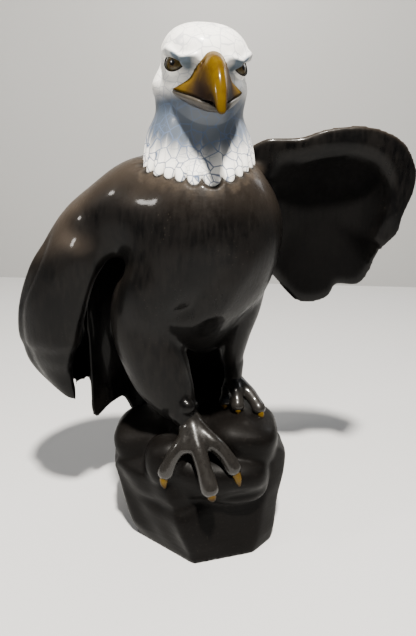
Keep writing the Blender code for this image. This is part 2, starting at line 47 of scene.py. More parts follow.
# Head and neck
HEAD_CENTRE = np.array([-9.0, -2.0, 358.0])
HEAD_YAW = 12.5  # degrees that the bill points towards +X
CROWN_RADII = (40.5, 38.0, 32.0, 29.5, 34.0)  # front, back, side, up, down
FACE_RADII = (35.5, 37.0, 27.0, 28.0, 33.0)
HEAD_SQUARENESS, HEAD_ROUNDNESS = 2.45, 2.05  # powers of the superellipsoid in front and behind
EYE_PLACE = np.array([18.6, 18.0, 1.8])  # forward, aside and up from the head's centre
EYE_RADIUS = 8.0
EYE_TURN, EYE_RISE = 42.5, 6.5  # middle of the eye's opening, in degrees seen from the head's centre
EYE_WIDE, EYE_TALL = 12.5, 10.5  # its half width and half height, in degrees
LID_LIFT, LID_SLOPE = 3.2, 0.42  # the lid's line: degrees over the eye's middle, and slope
LID_BEAD = 0.38  # radius in mm of the dark bead along the lids
LID_OVER = 0.9  # mm of the lids over the eyeball
EYE_SINK = 2.2  # mm that the head's skin lies behind the eyeball's face
COLLAR_TIPS = 30  # feather tips round the collar
COLLAR_PROUD = 2.0  # mm of the collar's edge over the trunk
COLLAR_HEIGHT, COLLAR_FALL = 308.5, 16.0  # the collar's edge at the back, and its fall to the breast
NECK_AXIS = np.array([-9.0, 4.0])  # x and y of the neck's upright axis
NECK_TOP = 352.0  # height at which the neck's form closes inside the head
NECK_RANGE = (302, 355)  # heights between which the neck's own sections are read
NECK_FLARE = 34.0  # mm over the collar's edge in which the neck narrows from the trunk's width
HEAD_BLEND = 3.2  # mm over which head and neck melt together
HEAD_REACH, HALVINGS = (8.0, 70.0), 22  # where each ray looks for the skin, and how often it halves that
HEAD_ROWS, HEAD_COLUMNS = 250, 372  # grid of the head and neck
HEAD_FAN = 0.66  # part of its rows that fans out over the skull
COLLAR_COVER = 2.4  # how far inside the neck the body's skin is drawn

# Rows of x, y, z, half width, half depth
TRUNK = [
    (-9, 6, 318, 25, 27), (-9, 5, 303, 37, 38), (-8, 4, 287, 49, 47), (-7, -2, 260, 60, 54),
    (-8, 0, 232, 57, 55), (-12, 6, 210, 48, 50), (-11, 16, 192, 39, 41), (-7, 28, 175, 31, 31),
    (-4, 39, 158, 20, 19),
]
NECK = [
    (-9.5, 4, 302, 38, 39), (-10.5, 3, 311, 37, 38), (-10.5, 2.5, 320, 35.5, 36.5), (-9.7, 2, 333, 30.3, 33),
    (-8.7, 0.5, 347, 29.5, 31), (-9, 0, 356, 26, 27),
]
LEG_RIGHT = [
    (-34, 2, 226, 25, 28), (-44, -7, 200, 29, 31), (-46, -13, 180, 27, 29), (-41, -16, 160, 25, 26),
    (-34.5, -18, 143, 23, 22), (-27, -19.5, 128, 19, 17), (-21.5, -19, 117, 15, 12.5),
]
LEG_LEFT = [
    (20, 6, 216, 26, 28), (22, 9, 194, 20, 23), (21.5, 12, 172, 14, 17), (20.5, 14, 152, 10.5, 13),
    (22.5, 16, 134, 7, 8.5),
]
ARM_RIGHT = [
    (-26, 4, 284, 26, 25), (-50, 0, 278, 33, 27.5), (-72, 3, 264, 30, 26), (-90, 8, 252, 27, 25),
    (-106, 12, 235, 24, 22), (-118, 17, 213, 16, 15),
]
ARM_LEFT = [
    (6, 24, 276, 22, 20), (28, 35, 287, 19, 14), (46, 40, 298, 13, 10), (64, 38, 306, 10, 8),
    (84, 36, 311, 8, 6), (104, 35, 312, 5, 4),
]

# Drooping wing: z, arc centre x, y, radius x, y
SHELL_ARCS = [
    (262, -80, 14, 24, 22), (254, -77, 14, 35, 30), (244, -74, 14, 46, 39), (222, -74, 19, 62, 44),
    (184, -89, 24, 61, 41), (152, -100, 27, 50, 36), (134, -107, 27, 36, 28), (120, -109, 22, 20, 19.5),
    (108, -110, 14, 6, 11),
]
SHELL_FRONT, SHELL_REAR = -82.0, 118.0  # degrees at which the arcs begin in front and end behind
SHELL_THICK, SHELL_ROLL = 8.0, 5.0  # thickness, and what the rolled front edge adds to it
# Inner feathers: height of the lower edge along the sheet, then its two ends and its top
INNER_FOOT = [(0.0, 84), (0.08, 77), (0.30, 88), (0.53, 94), (0.70, 72), (1.0, 80)]
INNER_LEFT, INNER_RIGHT, INNER_TOP = (-103.0, 27.0), (-54.0, 52.0), 250.0

# Short rear feathers: the two ends of the sheet's upper and lower edge
REAR_TOP = np.array([(-129.0, 53.0, 168.0), (-103.0, 60.5, 168.0)])
REAR_FOOT = np.array([(-124.0, 45.0, 109.0), (-104.5, 53.5, 109.0)])
REAR_THICK = 6.0

# Raised wing: outline x and z seen from the front, anticlockwise from its tip
RAISED_OUTLINE = [
    (158, 284), (158, 300), (147, 319), (130, 328), (111, 331), (88, 328.5), (66, 323), (40, 322),
    (18, 306), (16, 270), (30, 238), (53.5, 211.5), (75, 188.5), (91, 185), (106, 190.5), (112.5, 202),
    (130, 202), (138, 213), (140, 237), (150, 252), (152.5, 266),
]
RAISED_CENTRE = np.array([92.0, 264.0])
RAISED_HOLLOW_Y, RAISED_RIM_Y = 54.0, 28.0  # y of the hollow's bottom and of the upper rim
RAISED_LEAN = 28.0  # how much farther back the lower rim lies
RAISED_THICK, RAISED_ROLL = 9.0, 8.5

# Tail: middle of its top and foot, half width at each, and thickness
TAIL_TOP, TAIL_FOOT = np.array([-2.0, 36.0, 190.0]), np.array([-8.0, 76.0, 30.0])
TAIL_HALF_TOP, TAIL_HALF_FOOT, TAIL_THICK = 20.0, 41.0, 10.0

# Rock: outward normal x, y, z and distance from ROCK_CENTRE of each broken face
ROCK_CENTRE = np.array([0.0, 6.0, 0.0])
ROCK_FACES = [
    (0.27, -0.94, 0.20, 59), (-0.56, -0.82, -0.11, 56.5), (-0.93, -0.20, -0.30, 57.5),
    (-0.85, 0.00, 0.50, 97), (-0.28, -0.16, 0.95, 97.5), (0.00, -0.75, 0.66, 92.5),
    (-0.40, -0.66, 0.64, 90), (0.98, -0.10, -0.10, 61), (0.72, 0.10, 0.69, 97),
    (0.72, -0.68, 0.05, 65), (0.10, 0.50, 0.86, 104), (0.05, 0.99, 0.06, 61),
    (-0.66, 0.74, 0.08, 71), (0.70, 0.71, -0.05, 64),
]
ROCK_EDGE = 0.010  # softness of the edges between the broken faces
TALON_SIZES = (0.72, 0.54, 0.20)  # radii along a talon, as parts of the toe's last radius
BODY_VOXEL, FOOT_VOXEL, ROCK_VOXEL = 1.75, 0.70, 1.35  # grids, in mm, that join overlapping forms
RELAX_IN, RELAX_OUT = 0.60, 0.62  # parts of the way to the neighbours' mean, and back out again
FORM_ROUNDS, JOIN_ROUNDS, MELT_ROUNDS, SHOULDER_ROUNDS = 14, 40, 60, 45  # rounds of relaxing the body
ROCK_FLAT = 1.2  # mm under which the rock is laid on the ground

# Toes: rows of x, y, z and radius, then the talon's tip
TOES = {
    "right": {
        "outer": ([(-12, -31, 108, 7.5), (-15.5, -41, 100, 6.4), (-23.5, -46.5, 90, 5.8),
                   (-29.5, -49, 77, 5.2)],
                  (-29.5, -54, 67)),
        "middle": ([(-11, -30, 111, 7.5), (-7, -42, 101, 6.4), (-1, -54, 87, 6.2), (4.5, -62.5, 73, 5.6)],
                   (6.2, -65.5, 65.5)),
        "inner": ([(-9, -30, 109, 7.5), (2, -39.5, 102, 6.4), (14, -45, 93, 6.0), (22, -48.5, 82, 5.2)],
                  (27, -52, 69)),
        "hind": ([(-13, -19, 105, 8.5), (-13, -5, 105.5, 6.4), (-12, 7, 105, 5.2)], (-12, 15, 101)),
    },
    "left": {
        "outer": ([(24, 16, 127, 6.5), (33, 9, 120, 6.0), (40, 2, 114, 5.6), (44, -4, 109, 4.8)],
                  (46, -9, 102)),
        "middle": ([(22, 14, 127, 7), (24, 5, 122, 6.2), (25.5, -1, 117, 5.6), (26, -6, 112, 4.8)],
                   (26.5, -10, 107)),
        "inner": ([(20, 16, 125, 6), (18, 10, 121, 5.4), (17, 6, 117, 5.0), (16, 1, 112, 4.4)],
                  (15.5, -3, 108)),
        "hind": ([(23, 20, 125, 6.5), (25, 31, 116, 5.6), (26, 39, 110, 4.8)], (27, 46, 103)),
    },
}


# ---------------------------------------------------------------- shared shape tools

def smooth_rows(rows, count, closed=False):
    """Catmull-Rom curve through the given rows, read at evenly spaced places."""
    rows = np.asarray(rows, float)
    if closed:
        padded = np.vstack([rows[-1:], rows, rows[:2]])
        place = np.linspace(0, len(rows), count, endpoint=False)
    else:
        padded = np.vstack([2 * rows[:1] - rows[1:2], rows, 2 * rows[-1:] - rows[-2:-1]])
        place = np.linspace(0, len(rows) - 1, count)
    first = np.minimum(place.astype(int), len(padded) - 4)
    part = (place - first)[:, None]
    a, b, c, d = (padded[first + step] for step in range(4))
    return b + 0.5 * part * (c - a + part * (2 * a - 5 * b + 4 * c - d + part * (3 * (b - c) + d - a)))


def unit(vectors):
    """Vectors of length one."""
    return vectors / np.maximum(np.linalg.norm(vectors, axis=-1, keepdims=True), 1e-12)


def ease(value):
    """Zero below 0, one above 1, with a soft rise between: 3v squared less 2v cubed."""
    value = np.clip(value, 0.0, 1.0)
    return value * value * (3.0 - 2.0 * value)


def bell(value, middle, spread):
    """Gaussian bell of a value about its middle."""
    return np.exp(-((value - middle) / spread) ** 2)


def near_to(points, place, size):
    """Gaussian bell of the distance from a place."""
    return np.exp(-(np.linalg.norm(points - np.asarray(place), axis=1) / size) ** 2)


def circle(count):
    """Angles spread evenly over one turn."""
    return np.linspace(0, 2 * np.pi, count, endpoint=False)


def close_ends(count):
    """Steps from 0 to 1, closer together at both ends: half of one less the cosine."""
    return 0.5 - 0.5 * np.cos(np.linspace(0, np.pi, count))


def globe(polar, around):
    """Unit directions at an angle down from the third axis and an angle round it."""
    return np.stack([np.sin(polar) * np.cos(around), np.sin(polar) * np.sin(around),
                     np.cos(polar) + 0 * around], -1)


def aim(turn, rise):
    """Unit directions that turn aside from the first axis and rise above it, in degrees."""
    turn, rise = np.radians(turn), np.radians(rise)
    return np.stack([np.cos(turn) * np.cos(rise), np.sin(turn) * np.cos(rise), np.sin(rise)], -1)


def sheet_edge(across, down):
    """Part of a sheet's thickness left near its edges: across and down run from 0 to 1."""
    return np.sqrt(1 - (2 * across - 1) ** 8) * np.sqrt(1 - (2 * down - 1) ** 12)


def grid_faces(rows, columns, wrap):
    """Quads of a grid of points, row by row, closed across its columns if wrap is set."""
    across = np.arange(columns if wrap else columns - 1)
    start = np.arange(rows - 1)[:, None] * columns
    here, following = start + across, start + (across + 1) % columns
    return np.stack([here, here + columns, following + columns, following], -1).reshape(-1, 4)


def ring_solid(rings):
    """Points and faces of stacked rings closed by a point at each end: rings[0] and rings[-1] are points."""
    rows, columns = rings.shape[:2]
    points = np.vstack([rings[1:-1].reshape(-1, 3), rings[0, :1], rings[-1, :1]])
    side = np.arange(columns)
    following = (side + 1) % columns
    last = (rows - 3) * columns
    caps = np.vstack([np.stack([side, following, 0 * side + len(points) - 2], -1),
                      np.stack([last + following, last + side, 0 * side + len(points) - 1], -1)])
    return outward(points, grid_faces(rows - 2, columns, True).tolist() + caps.tolist())


def sheet_solid(front, back):
    """Points and faces of two grids that meet at their edges, closed by a narrow wall round them."""
    rows, columns = front.shape[:2]
    count = rows * columns
    quads = grid_faces(rows, columns, False)
    index = np.arange(count).reshape(rows, columns)
    rim = np.hstack([index[0, :-1], index[:-1, -1], index[-1, :0:-1], index[:0:-1, 0]])
    after = np.roll(rim, -1)
    wall = np.stack([rim, after, after + count, rim + count], -1)
    faces = quads[:, ::-1].tolist() + (quads + count).tolist() + wall.tolist()
    return outward(np.vstack([front.reshape(-1, 3), back.reshape(-1, 3)]), faces)


def outward(points, faces):
    """The same solid with its faces turned so that its signed volume is positive."""
    volume = 0.0
    for size in (3, 4):
        group = np.array([face for face in faces if len(face) == size])
        for corner in range(1, size - 1) if len(group) else ():
            a, b, c = points[group[:, 0]], points[group[:, corner]], points[group[:, corner + 1]]
            volume += (a * np.cross(b, c)).sum()
    return (points, faces) if volume > 0 else (points, [face[::-1] for face in faces])


def tube(stations, count, sides, aside=(1.0, 0.0, 0.0), depth=0.6, caps=6):
    """Oval section carried along a smooth path; each end shrinks to a point along a quarter circle."""
    rows = smooth_rows(stations, count)
    along = unit(np.gradient(rows[:, :3], axis=0))
    across = unit(np.asarray(aside) - (along @ np.asarray(aside))[:, None] * along)
    turn = np.linspace(0.5 * np.pi, 0, caps, endpoint=False)
    ends = []
    for end, sign in ((0, -1.0), (-1, 1.0)):
        reach = depth * min(rows[end, 3:])
        place = rows[end, :3] + sign * reach * np.sin(turn)[:, None] * along[end]
        ends.append(np.hstack([place, np.cos(turn)[:, None] * rows[end, 3:]]))
    rows = np.vstack([ends[0], rows, ends[1][::-1]])
    across, along = (np.vstack([ways[:1]] * caps + [ways] + [ways[-1:]] * caps) for ways in (across, along))
    normal = np.cross(along, across)
    angle = circle(sides)
    return (rows[:, None, :3] + (rows[:, 3:4] * np.cos(angle))[..., None] * across[:, None]
            + (rows[:, 4:] * np.sin(angle))[..., None] * normal[:, None])


def section_at(table, height):
    """Centre x, y and half sizes of a station table at each height, read off its smooth curve."""
    rows = smooth_rows(table, 300)
    rows = rows[np.argsort(rows[:, 2])]
    return [np.interp(height, rows[:, 2], rows[:, column]) for column in (0, 1, 3, 4)]


def mesh_of(name, points, faces):
    """Blender mesh of points in millimetres."""
    mesh = bpy.data.meshes.new(name)
    mesh.from_pydata((np.asarray(points) * MM).tolist(), [], faces)
    mesh.update()
    return mesh


def placed(name, data):
    """New object of the scene at the origin."""
    item = bpy.data.objects.new(name, data)
    bpy.context.scene.collection.objects.link(item)
    return item


def piece_of(name, points, faces, material, nodes=(), shades=None):
    """Finished piece at the origin, riding on the root body, with its point attributes."""
    mesh = mesh_of(name, points, faces)
    for key, values in (shades or {}).items():
        mesh.attributes.new(key, "FLOAT", "POINT").data.foreach_set("value", np.asarray(values, np.float32))
    mesh.shade_smooth()
    piece = placed(name, mesh)
    piece.data.materials.append(material)
    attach(piece, "root")
    if nodes:
        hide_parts(*nodes)
    return piece


def joined_skin(solids, voxel):
    """Points and quads of one closed skin round several overlapping solids, on a grid of voxel mm."""
    points, faces, count = [], [], 0
    for solid_points, solid_faces in solids:
        points.append(solid_points)
        faces.extend([[corner + count for corner in face] for face in solid_faces])
        count += len(solid_points)
    mesh = mesh_of("joining", np.vstack(points), faces)
    work = placed("joining", mesh)
    step = work.modifiers.new("voxels", "REMESH")
    step.mode = "VOXEL"
    step.voxel_size = voxel * MM
    step.adaptivity = 0.0
    done = bpy.data.meshes.new_from_object(work.evaluated_get(bpy.context.evaluated_depsgraph_get()))
    found = np.empty(len(done.vertices) * 3, np.float32)
    done.vertices.foreach_get("co", found)
    quads = np.empty(len(done.loops), np.int32)
    done.loops.foreach_get("vertex_index", quads)
    bpy.data.objects.remove(work)
    bpy.data.meshes.remove(mesh)
    bpy.data.meshes.remove(done)
    return keep_largest(found.reshape(-1, 3).astype(float) / MM, quads.reshape(-1, 4))


def keep_largest(points, quads):
    """The largest connected part of a skin, so that no scrap or sealed hollow stays."""
    label = np.arange(len(points))
    while True:
        low = label[quads].min(1)
        new = label.copy()
        for corner in range(4):
            np.minimum.at(new, quads[:, corner], low)
        new = new[new]
        if np.array_equal(new, label):
            break
        label = new
    names, counts = np.unique(label[quads[:, 0]], return_counts=True)
    quads = quads[label[quads[:, 0]] == names[counts.argmax()]]
    used, index = np.unique(quads, return_inverse=True)
    return points[used], index.reshape(-1, 4)


def neighbour_mean(quads, count):
    """A function that averages a field, or rows of places, over the neighbours of each point."""
    here, there = quads.T.ravel(), np.roll(quads, -1, 1).T.ravel()
    degree = np.bincount(here, minlength=count) + np.bincount(there, minlength=count)

    def mean_of(field):
        total = [np.bincount(here, column[there], count) + np.bincount(there, column[here], count)
                 for column in field.reshape(count, -1).T]
        return (np.stack(total, -1) / degree[:, None]).reshape(field.shape)
    return mean_of


def relaxed(points, quads, rounds, weight=1.0, volume=True):
    """Points moved towards the mean of their neighbours, then back a little so the form keeps its size."""
    mean_of = neighbour_mean(quads, len(points))
    weight = np.broadcast_to(np.asarray(weight, float), (len(points),))[:, None]
    for _ in range(rounds):
        points = points + RELAX_IN * weight * (mean_of(points) - points)
        if volume:
            points = points - RELAX_OUT * weight * (mean_of(points) - points)
    return points


def blurred(field, quads, rounds):
    """A field of the points averaged with its neighbours a few times."""
    mean_of = neighbour_mean(quads, len(field))
    for _ in range(rounds):
        field = 0.5 * field + 0.5 * mean_of(field)
    return field


def normals_of(points, quads):
    """Outward normal at each point: the mean of the normals of the quads round it."""
    p = points[quads]
    face = np.cross(p[:, 2] - p[:, 0], p[:, 3] - p[:, 1])
    total = np.stack([sum(np.bincount(quads[:, corner], face[:, axis], len(points)) for corner in range(4))
                      for axis in range(3)], -1)
    return unit(total)


# ---------------------------------------------------------------- head and neck

def head_frame():
    """Rows of the head's forward, aside and up directions."""
    yaw = np.radians(HEAD_YAW)
    return np.array([[np.sin(yaw), -np.cos(yaw), 0.0], [np.cos(yaw), np.sin(yaw), 0.0], [0.0, 0.0, 1.0]])


def from_head(points):
    """Points given forward, aside and up from the head's centre, in the statue's frame."""
    return HEAD_CENTRE + np.asarray(points, float) @ head_frame()


def to_head(points):
    """Points of the statue's frame as forward, aside and up from the head's centre."""
    return (np.asarray(points, float) - HEAD_CENTRE) @ head_frame().T


def oval_reach(way, radii):
    """Reach of a superellipsoid with unlike front, back, side, up and down radii, rounder behind."""
    front, back, side, high, low = radii
    power = HEAD_ROUNDNESS + (HEAD_SQUARENESS - HEAD_ROUNDNESS) * ease(0.5 + way[..., 0])
    length = np.where(way[..., 0] > 0, front, back)
    height = np.where(way[..., 2] > 0, high, low)
    total = (np.abs(way[..., 0] / length) ** power + np.abs(way[..., 1] / side) ** power
             + np.abs(way[..., 2] / height) ** power)
    return total ** (-1.0 / power)


def turn_and_rise(way):
    """Degrees that each direction turns aside, to either side, and rises."""
    return (np.degrees(np.arctan2(np.abs(way[..., 1]), way[..., 0])),
            np.degrees(np.arcsin(np.clip(way[..., 2], -1, 1))))


def bumps(way, *forms):
    """Sum of bells on both sides of the head: each has a height, and a turn, rise and spread in degrees."""
    folded = np.stack([way[..., 0], np.abs(way[..., 1]), way[..., 2]], -1)
    total = 0.0
    for height, turn, rise, spread in forms:
        away = np.degrees(np.arccos(np.clip(folded @ aim(turn, rise), -1, 1)))
        total = total + height * bell(away, 0, spread)
    return total


def eye_opening(way):
    """Negative inside the eye's almond: an oval cut off above by a lid line that falls towards the bill."""
    turn, rise = turn_and_rise(way)
    turn, rise = turn - EYE_TURN, rise - EYE_RISE
    oval = np.sqrt((turn / EYE_WIDE) ** 2 + (rise / EYE_TALL) ** 2) - 1.0
    return np.maximum(oval, (rise - LID_LIFT - LID_SLOPE * turn) / EYE_TALL)


def ball_reach(way, eye):
    """Distance along each direction to the far side of the eyeball, and whether the direction meets it."""
    along = (way * eye).sum(-1)
    square = along ** 2 - (eye ** 2).sum(-1) + EYE_RADIUS ** 2
    return along + np.sqrt(np.maximum(square, 0)), square > 0


def brow_line(turn):
    """Rise of the brow's edge: a slope with two dips over the eye."""
    return 3.0 + 0.29 * (np.minimum(turn, 78.0) - 17.0) - 2.6 * bell(turn, 57, 9) - 6.0 * bell(turn, 29, 12)


# Cheeks, hollows before the eye, throat and nape, and two hollows on the bird's own right
HEAD_FORMS = [(-3.6, 42, -1, 15), (-3.4, 22, -4, 12), (3.0, 85, -22, 30), (9.0, 0, -40, 26),
              (1.3, 47, -14, 9), (-1.0, 66, 2, 12), (3.0, 108, -12, 20), (1.8, 88, -12, 16)]
RIGHT_FORMS = [(2.8, 105, 22, 24), (2.4, 66, 15, 15)]


def skull_reach(way):
    """Distance from the head's centre to its skin: crown over face, parted by the overhanging brow."""
    turn, rise = turn_and_rise(way)
    brow = brow_line(turn)
    behind = ease((turn - 62.0) / 50.0)
    ledge = ease(0.5 + (rise - brow) / (3.2 + 60.0 * behind))
    low = oval_reach(way, FACE_RADII)
    reach = low + (oval_reach(way, CROWN_RADII) - low) * ledge
    along_brow = ease((turn - 8) / 14) * (1 - behind)
    reach = reach + 3.0 * bell(rise, brow + 5.0, 4.4) * along_brow * ease((68 - turn) / 24)
    return reach + bumps(way, *HEAD_FORMS) - bumps(way, *RIGHT_FORMS) * ease(0.5 - 4 * way[..., 1])


def collar_edge(angle):
    """Height of the collar's edge, low on the breast, with rounded feather tips and sharp notches, and
    the part of each tip, from 0 in a notch to 1."""
    front = 0.5 - 0.5 * np.sin(angle)
    tips = np.abs(np.sin(0.5 * COLLAR_TIPS * angle + 0.7 * np.sin(3 * angle + 1) + 0.4 * np.sin(7 * angle)))
    depth = 4.2 + 1.3 * np.sin(5 * angle + 2)
    drop = np.clip(2.0 * front - 1.0, 0.0, 1.0) ** 1.4
    return COLLAR_HEIGHT - COLLAR_FALL * drop - depth * tips ** 0.6, tips


def round_neck(points):
    """Angle round the neck's axis and distance from it."""
    x, y = points[..., 0] - NECK_AXIS[0], points[..., 1] - NECK_AXIS[1]
    return np.arctan2(y, x), np.hypot(x, y)


def oval_from_neck(table, height, angle, proud=0.0):
    """Distance from the neck's axis to the oval section of a table, made larger by proud mm."""
    x, y, wide, deep = section_at(table, height)
    return np.hypot(x - NECK_AXIS[0] + (wide + proud) * np.cos(angle),
                    y - NECK_AXIS[1] + (deep + proud) * np.sin(angle))


def neck_reach(angle, height):
    """Radius of the neck about its axis, flaring near the collar's edge, with folds between the feathers."""
    edge, tips = collar_edge(angle)
    skirt = oval_from_neck(TRUNK, edge, angle, COLLAR_PROUD)
    middle = oval_from_neck(NECK, np.clip(height, *NECK_RANGE), angle)
    reach = middle + (skirt - middle) * ease(1 - (height - edge) / NECK_FLARE) ** 1.5
    above = np.maximum(height - edge, 0)
    groove = np.exp(-(tips / 0.34) ** 2) * np.exp(-above / 5.0)
    return reach - 1.5 * groove + 0.5 * tips * np.exp(-above / 9.0)


def head_inside(points):
    """Positive inside the head or the neck, in mm: a soft union of the two forms."""
    local = to_head(points)
    skull = skull_reach(unit(local)) - np.linalg.norm(local, axis=-1)
    angle, away = round_neck(points)
    neck = neck_reach(angle, points[..., 2]) - away - 2.0 * np.maximum(points[..., 2] - NECK_TOP, 0)
    between = np.exp(-np.abs(skull - neck) / HEAD_BLEND)
    return np.maximum(skull, neck) + 0.6 * HEAD_BLEND * np.log1p(between)


def head_rows():
    """Head and neck as one grid: rays fan out from the head's centre, a little closer together over the
    face, then leave the neck's axis level, and each meets the skin where head_inside changes sign."""
    even = np.linspace(-1, 1, HEAD_COLUMNS, endpoint=False)
    angle = np.radians(HEAD_YAW) + np.pi * (0.45 * even + 0.55 * even ** 3 - 0.5) + np.zeros((HEAD_ROWS, 1))
    down = np.linspace(0, 1, HEAD_ROWS)[:, None]
    fan = down / HEAD_FAN
    below = np.clip((down - HEAD_FAN) / (1 - HEAD_FAN), 0, 1)
    polar = np.where(fan > 1, 90 + 28 * (1 - ease(below / 0.7)),
                     118.0 * np.clip(fan * (1.28 - 0.28 * fan), 0, 1))
    start = ease(below / 0.25)[..., None]
    plan = HEAD_CENTRE[:2] * (1 - start) + NECK_AXIS * start
    level = HEAD_CENTRE[2] + (collar_edge(angle)[0] - HEAD_CENTRE[2]) * below
    origin = np.concatenate([np.broadcast_to(plan, (*angle.shape, 2)), level[..., None]], -1)
    way = globe(np.radians(polar) + 0 * angle, angle)
    inner, outer = (np.full(angle.shape, reach) for reach in HEAD_REACH)
    for _ in range(HALVINGS):
        middle = 0.5 * (inner + outer)
        solid = head_inside(origin + middle[..., None] * way) > 0
        inner, outer = np.where(solid, middle, inner), np.where(solid, outer, middle)
    return origin + inner[..., None] * way


def head_skin(material):
    """The white head and neck: one grid, its eye openings sunk behind the eyeballs, its edge turned in."""
    local = to_head(head_rows())
    way, size = unit(local), np.linalg.norm(local, axis=-1)
    opening = eye_opening(way)
    front = way[..., 0] > 0.2
    side = np.where(local[..., 1:2] < 0, [1.0, -1.0, 1.0], [1.0, 1.0, 1.0])
    ball, met = ball_reach(way, EYE_PLACE * side)
    near = front & (np.abs(opening) < 3)
    lid = np.where(near, np.exp(-(np.maximum(opening, 0) / 0.28) ** 2), 0)
    size = np.where(near, np.maximum(size, (ball + LID_OVER) * lid + size * (1 - lid)), size)
    size = np.where(near & met & (opening > 0), np.maximum(size, ball + 0.5), size)
    sunk = np.where(front, ease(-opening / 0.10), 0)
    size = size + (np.minimum(ball - EYE_SINK, size) - size) * sunk
    points = from_head(way * size[..., None])
    points[..., 2] -= (1.2 * bell(local[..., 2], 9.5, 3.5) * bell(np.abs(local[..., 1]), 19, 12)
                       * (local[..., 0] > 5))
    hem = points[-1]
    inward = unit(np.column_stack([NECK_AXIS - hem[:, :2], 0 * hem[:, 0]]))
    tuck = [hem + reach * inward + [0, 0, rise]
            for reach, rise in ((0.5, -0.5), (1.6, -0.2), (6.0, 2.0), (14.0, 3.0))]
    crown = np.repeat(points[:1, :1], HEAD_COLUMNS, 1)
    inside = np.tile([*NECK_AXIS, 300.0], (1, HEAD_COLUMNS, 1))
    points, faces = ring_solid(np.concatenate([crown, points[1:], np.stack(tuck), inside]))
    height = points[:, 2]
    edge = collar_edge(round_neck(points)[0])[0]
    # Painted shade: the upper neck under the head and bill is darkened blue-grey as shadow, a little less at
    # the middle of the front.
    shade = ease((height - edge - 6) / 20) * ease((NECK_TOP - height) / 14)
    seen = unit(to_head(points))
    turn, rise = turn_and_rise(seen)
    brow = brow_line(turn)
    # Painted shade under the brow's ledge and in the hollows before the eyes, laid blue-grey over the white.
    under = bell(rise, brow + 2.0, 4.4) * ease((turn - 10) / 8) * ease((60 - turn) / 14)
    hollow = np.maximum(bumps(seen, (1, 25, 3.5, 9)), bumps(seen, (1, 34, 9, 8)))
    hollow = hollow * ease((brow + 8 - rise) / 4)
    lore_painted_shade = np.maximum(0.6 * under, np.clip(1.3 * hollow, 0, 1)) * (height > 335)
    return piece_of("head_and_neck", points, faces, material, ("head", "neck"),
                    {"neck": shade * (1 - 0.05 * bell(points[:, 0], -4, 17)),
                     "low": ease((350 - height) / 40), "lore_painted_shade": lore_painted_shade})


# ---------------------------------------------------------------- eyes

def eye_piece(side, sign, material):
    """Eyeball: a sphere whose pole looks out through the lids, with the iris marked by distance from it."""
    centre = EYE_PLACE * [1, sign, 1]
    gaze = aim((EYE_TURN - 4) * sign, EYE_RISE - 1)
    aside = unit(np.cross([0.0, 0.0, 1.0], gaze))
    polar = np.linspace(0, 1, 60)[:, None] ** 1.3 * np.pi
    cornea = EYE_RADIUS * (1 + 0.03 * np.exp(-(polar / 0.5) ** 2))
    way = globe(polar, circle(72)[None]) @ np.stack([aside, np.cross(gaze, aside), gaze])
    points, faces = ring_solid(from_head(centre + cornea[..., None] * way))
    away = np.linalg.norm(to_head(points) - centre - EYE_RADIUS * gaze, axis=-1)
    return piece_of("eyeball_" + side, points, faces, material, ("eye_" + side,), {"away": away})


def eye_rim(side, sign, material):
    """Dark line of the lids: a thin round bead that follows the edge of the eye's opening."""
    around, spin = circle(120), circle(10)
    turn, rise = EYE_WIDE * np.cos(around), EYE_TALL * np.sin(around)
    over = rise - LID_SLOPE * turn
    reach = np.where(over > LID_LIFT, LID_LIFT / np.maximum(over, LID_LIFT), 1.0)
    way = aim((EYE_TURN + reach * turn) * sign, EYE_RISE + reach * rise)
    for _ in range(6):
        way = unit(way + 0.25 * (np.roll(way, 1, 0) + np.roll(way, -1, 0) - 2 * way))
    ball, _ = ball_reach(way, EYE_PLACE * [1, sign, 1])
    path = way * (np.maximum(ball + LID_OVER, np.minimum(skull_reach(way), ball + 1.5)) + 0.1)[:, None]
    ahead = unit(np.roll(path, -1, 0) - np.roll(path, 1, 0))
    out = unit(way - (way * ahead).sum(-1, keepdims=True) * ahead)
    rings = path[:, None] + LID_BEAD * (np.cos(spin)[:, None] * out[:, None]
                                        + np.sin(spin)[:, None] * np.cross(ahead, out)[:, None])
    quads = grid_faces(len(path) + 1, len(spin), True) % (len(path) * len(spin))
    points, faces = outward(from_head(rings).reshape(-1, 3), quads.tolist())
    low = np.repeat(ease((EYE_PLACE[2] + 1 - path[:, 2]) / 3), len(spin))
    return piece_of("eyelid_line_" + side, points, faces, material, (), {"halo": low})


# ---------------------------------------------------------------- bill

# Ridge forward, up; edge forward, up; half width above; half width at the edge; squareness of the section
BILL = [
    (22, 9.6, 18, -11.0, 9.6, 24.0, 2.4), (31, 9.4, 27, -13.2, 9.8, 21.6, 2.4),
    (39, 7.9, 36, -15.8, 10.6, 17.0, 2.35), (46, 4.8, 42.5, -18.0, 9.8, 12.8, 2.3),
    (52.5, 0.4, 48.5, -20.0, 8.4, 9.4, 2.2), (58, -5.2, 53.5, -21.4, 6.8, 6.3, 2.1),
    (61.8, -11.5, 57.5, -22.3, 5.7, 4.0, 2.0), (64.2, -18.5, 60.2, -24.9, 4.5, 2.8, 2.0),
    (65.4, -24.0, 62.6, -27.6, 3.5, 2.3, 2.0), (65.4, -27.8, 64.0, -29.0, 2.2, 1.7, 2.0),
    (65.0, -29.4, 64.6, -29.6, 0.6, 0.5, 2.0),
]
# Top forward, up; foot forward, up; half width
JAW = [
    (15, -10.6, 17, -17.5, 23.6), (26, -13.4, 27, -20.6, 21.8), (35, -16.2, 35, -23.6, 17.6),
    (42, -18.4, 42, -25.8, 13.4), (48, -20.6, 48, -27.2, 9.2), (52.5, -22.8, 51.8, -27.6, 4.6),
]


def full_section(half, across, flip=1.0):
    """A half section, what lies across below it, and the half run back, mirrored or scaled by flip."""
    return np.concatenate([half, across, (half * flip)[:, :0:-1]], 1)


